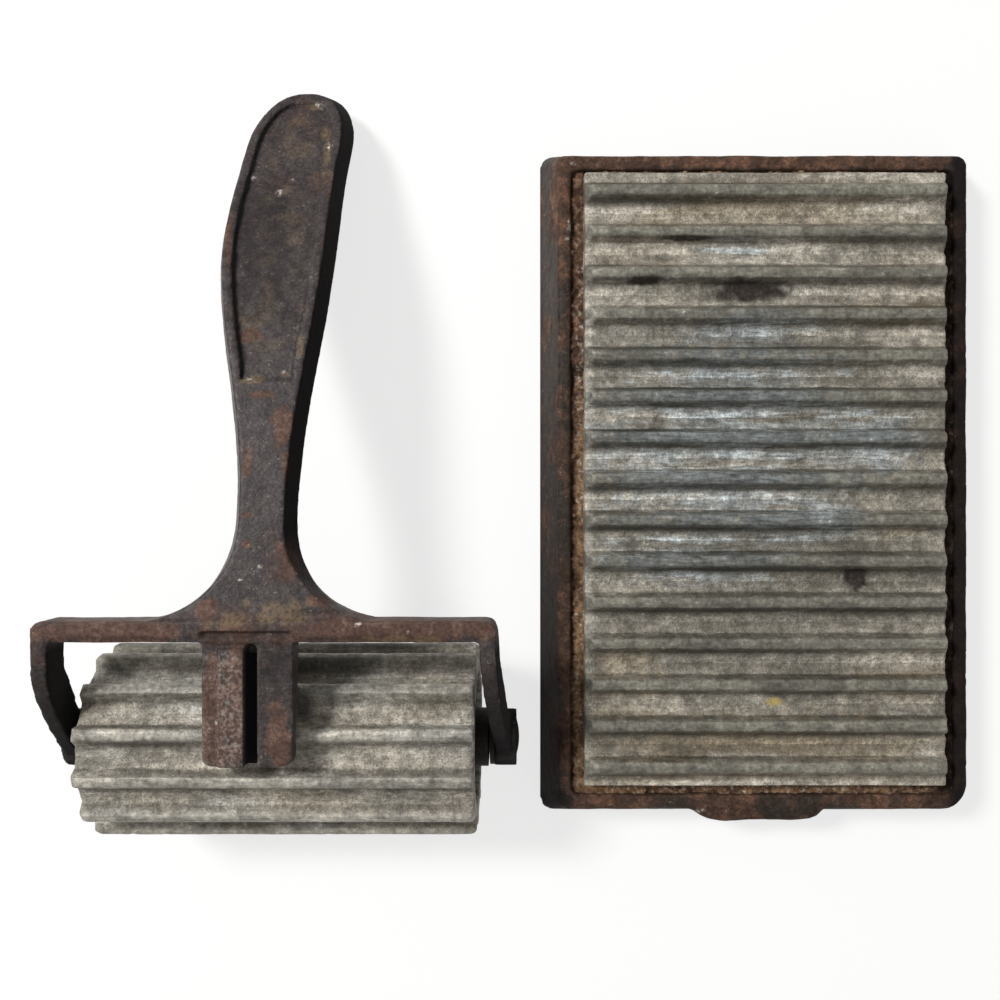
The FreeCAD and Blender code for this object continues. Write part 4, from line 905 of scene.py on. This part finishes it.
# Painted shade: the arms' sides, the faces turned right and the groove go near-black, and the marked ovals
# add painted shadows and soot smudges.
painted_shade_and_soot = PAINTED_SHADE_ON_SIDES * (arm_side * ramp(normals[:, 2], 1.05, 0.6) + right_face + in_groove)
painted_shade_and_soot += SHADOW_AND_SMUDGE_SHARE * marks(places, normals, SHADOWS_AND_SOOT_ON_HANDLE, ragged=0.8)
keep_on_points(handle, "painted_shade_and_soot", np.clip(painted_shade_and_soot, 0, PAINTED_SHADE_ON_SIDES))
in_panel = PANEL_OCHRE * marks(places, normals, OCHRE_IN_PANEL, ragged=0.8, grain=4)
in_panel = in_panel * ramp(rough(places, 3.5, 2), -0.2, 0.3)
ochre = np.maximum(in_panel, SPOT_OCHRE * marks(places, normals, OCHRE_ON_HANDLE, ragged=0.9))
keep_on_points(handle, "ochre", ochre)
on_rib = ramp(along_lifter, *RIB_LEFT) * ramp(along_lifter, *RIB_RIGHT)
# The lifter's upward front is lightened towards its left, partly with dust and partly as a painted sheen.
dust_and_painted_sheen = LIFTER_DUST_AND_SHEEN + RIB_DUST_AND_SHEEN * on_rib + DRIFTING_DUST_AND_SHEEN * rough(places, 1.1, 3)
dust_and_painted_sheen = dust_and_painted_sheen * on_lifter * ramp(normals[:, 2], 0.5, 0.9) * ramp(along_lifter, *SHEEN_FADES_RIGHT)
chips = CHIPPED_SHARE * marks(places, normals, CHIPS_ON_HANDLE, ragged=0.9, grain=0.7)
keep_on_points(handle, "pale_chips_and_sheen", np.clip(np.maximum(chips, dust_and_painted_sheen), 0, 1))
finish_piece(handle, "hand_piece", "handle_iron", black_scale, "handle_frame")

# %% [markdown]
# The roller's sleeve has thirteen teeth that match the plate's flutes. It is the same white metal, but it
# was rolled over cloth and not scraped along it, so its skin is calmer, has fewer streaks and less
# contrast. Where its first tooth stands is measured on the mesh, so that the grime and the painted shade sit
# on the flanks.

# %% Roller sleeve
SLEEVE_CELL, SLEEVE_SQUEEZE = 0.34, 0.34
TOOTH_LUMPS, SKIN_LUMPS, TOOTH_NICKS = (0.05, 2.6), (0.05, 3.4), (0.16, 1.9)
ALONG_TEETH = (0.35, 1, 1)
TIP_DEPTH = 0.4

sleeve = even_net(merged_copy("roller_sleeve", "roller_sleeve_worn"), SLEEVE_CELL, SLEEVE_SQUEEZE)
places, normals = points_of(sleeve)
radius = np.hypot(places[:, 1] - axle_y, places[:, 2] - axle_z)
angle = np.arctan2(places[:, 2] - axle_z, places[:, 1] - axle_y)
tips = radius > radius.max() - TIP_DEPTH
first_tooth = float(np.angle(np.exp(1j * TOOTH_COUNT * angle[tips]).mean()) / TOOTH_COUNT)
outside = ramp(radius, radius.max() - 6, radius.max() - 4)
shift = lumps(places * ALONG_TEETH, TOOTH_LUMPS) + lumps(places, SKIN_LUMPS, 5)
shift -= pits(places, TOOTH_NICKS, 2, 0.35, 0.6)
places += normals * (shift * outside)[:, None]
put_points(sleeve, places)
mark_wear(sleeve, 2 * SLEEVE_CELL)
print("sleeve points:", len(places), "first tooth at", round(math.degrees(first_tooth), 1), "degrees")

# %% Marks on the sleeve
ALONG_PATCHES = (0.5, 1, 1)
# The shadows of the lifter and the bar on the roller are painted on as dim ovals.
SLEEVE_SHADOW_SHARE = 0.75
PAINTED_SHADOW_ON_SLEEVE = [(290, 668, 50, 24), (285, 705, 30, 30), (340, 660, 70, 10), (390, 645, 100, 5),
                    (150, 645, 50, 4)]

places, normals = points_of(sleeve)
patches = {"warm": (0.4, 10, 3), "cool": (0.3, 9, 6), "pale": (0.35, 5, 12), "dim_and_painted_shadow": (0.25, 7, 20)}
painted_shadow = {"dim_and_painted_shadow": SLEEVE_SHADOW_SHARE * marks(places, normals, PAINTED_SHADOW_ON_SLEEVE)}
for mark_name, (share, size, offset) in patches.items():
    strength = share * ramp(rough(places * ALONG_PATCHES, size, offset), 0, 0.5)
    keep_on_points(sleeve, mark_name, np.maximum(strength, painted_shadow.get(mark_name, 0)))

sleeve_metal = dull_white_metal("dull_white_metal_sleeve", "847e73", "928d83", 0.3,
                                off_sleeve_ridge, axle_y, axle_z, first_tooth)
finish_piece(sleeve, "roller", "white_metal", sleeve_metal, "roller_sleeve")

# %% [markdown]
# The core, the axle, its washers and the four screws are turned iron. They are small and mostly in the
# dark, so they keep the built shapes and only get the rusted finish.

# %% Turned parts
for name in ("roller_core", "axle_pin", "axle_washer_left", "axle_washer_right", "plate_screw_far_left",
             "plate_screw_far_right", "plate_screw_near_left", "plate_screw_near_right"):
    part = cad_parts[name]
    part.data.materials.clear()
    part.data.materials.append(turned_rust)
print("turned parts finished")

# %% [markdown]
# Blender doesn't change the real size. Lumps stand out by a tenth of a millimetre at most, so the finished
# model fills the same box as the built one.

# %% Final update
bpy.context.view_layer.update()
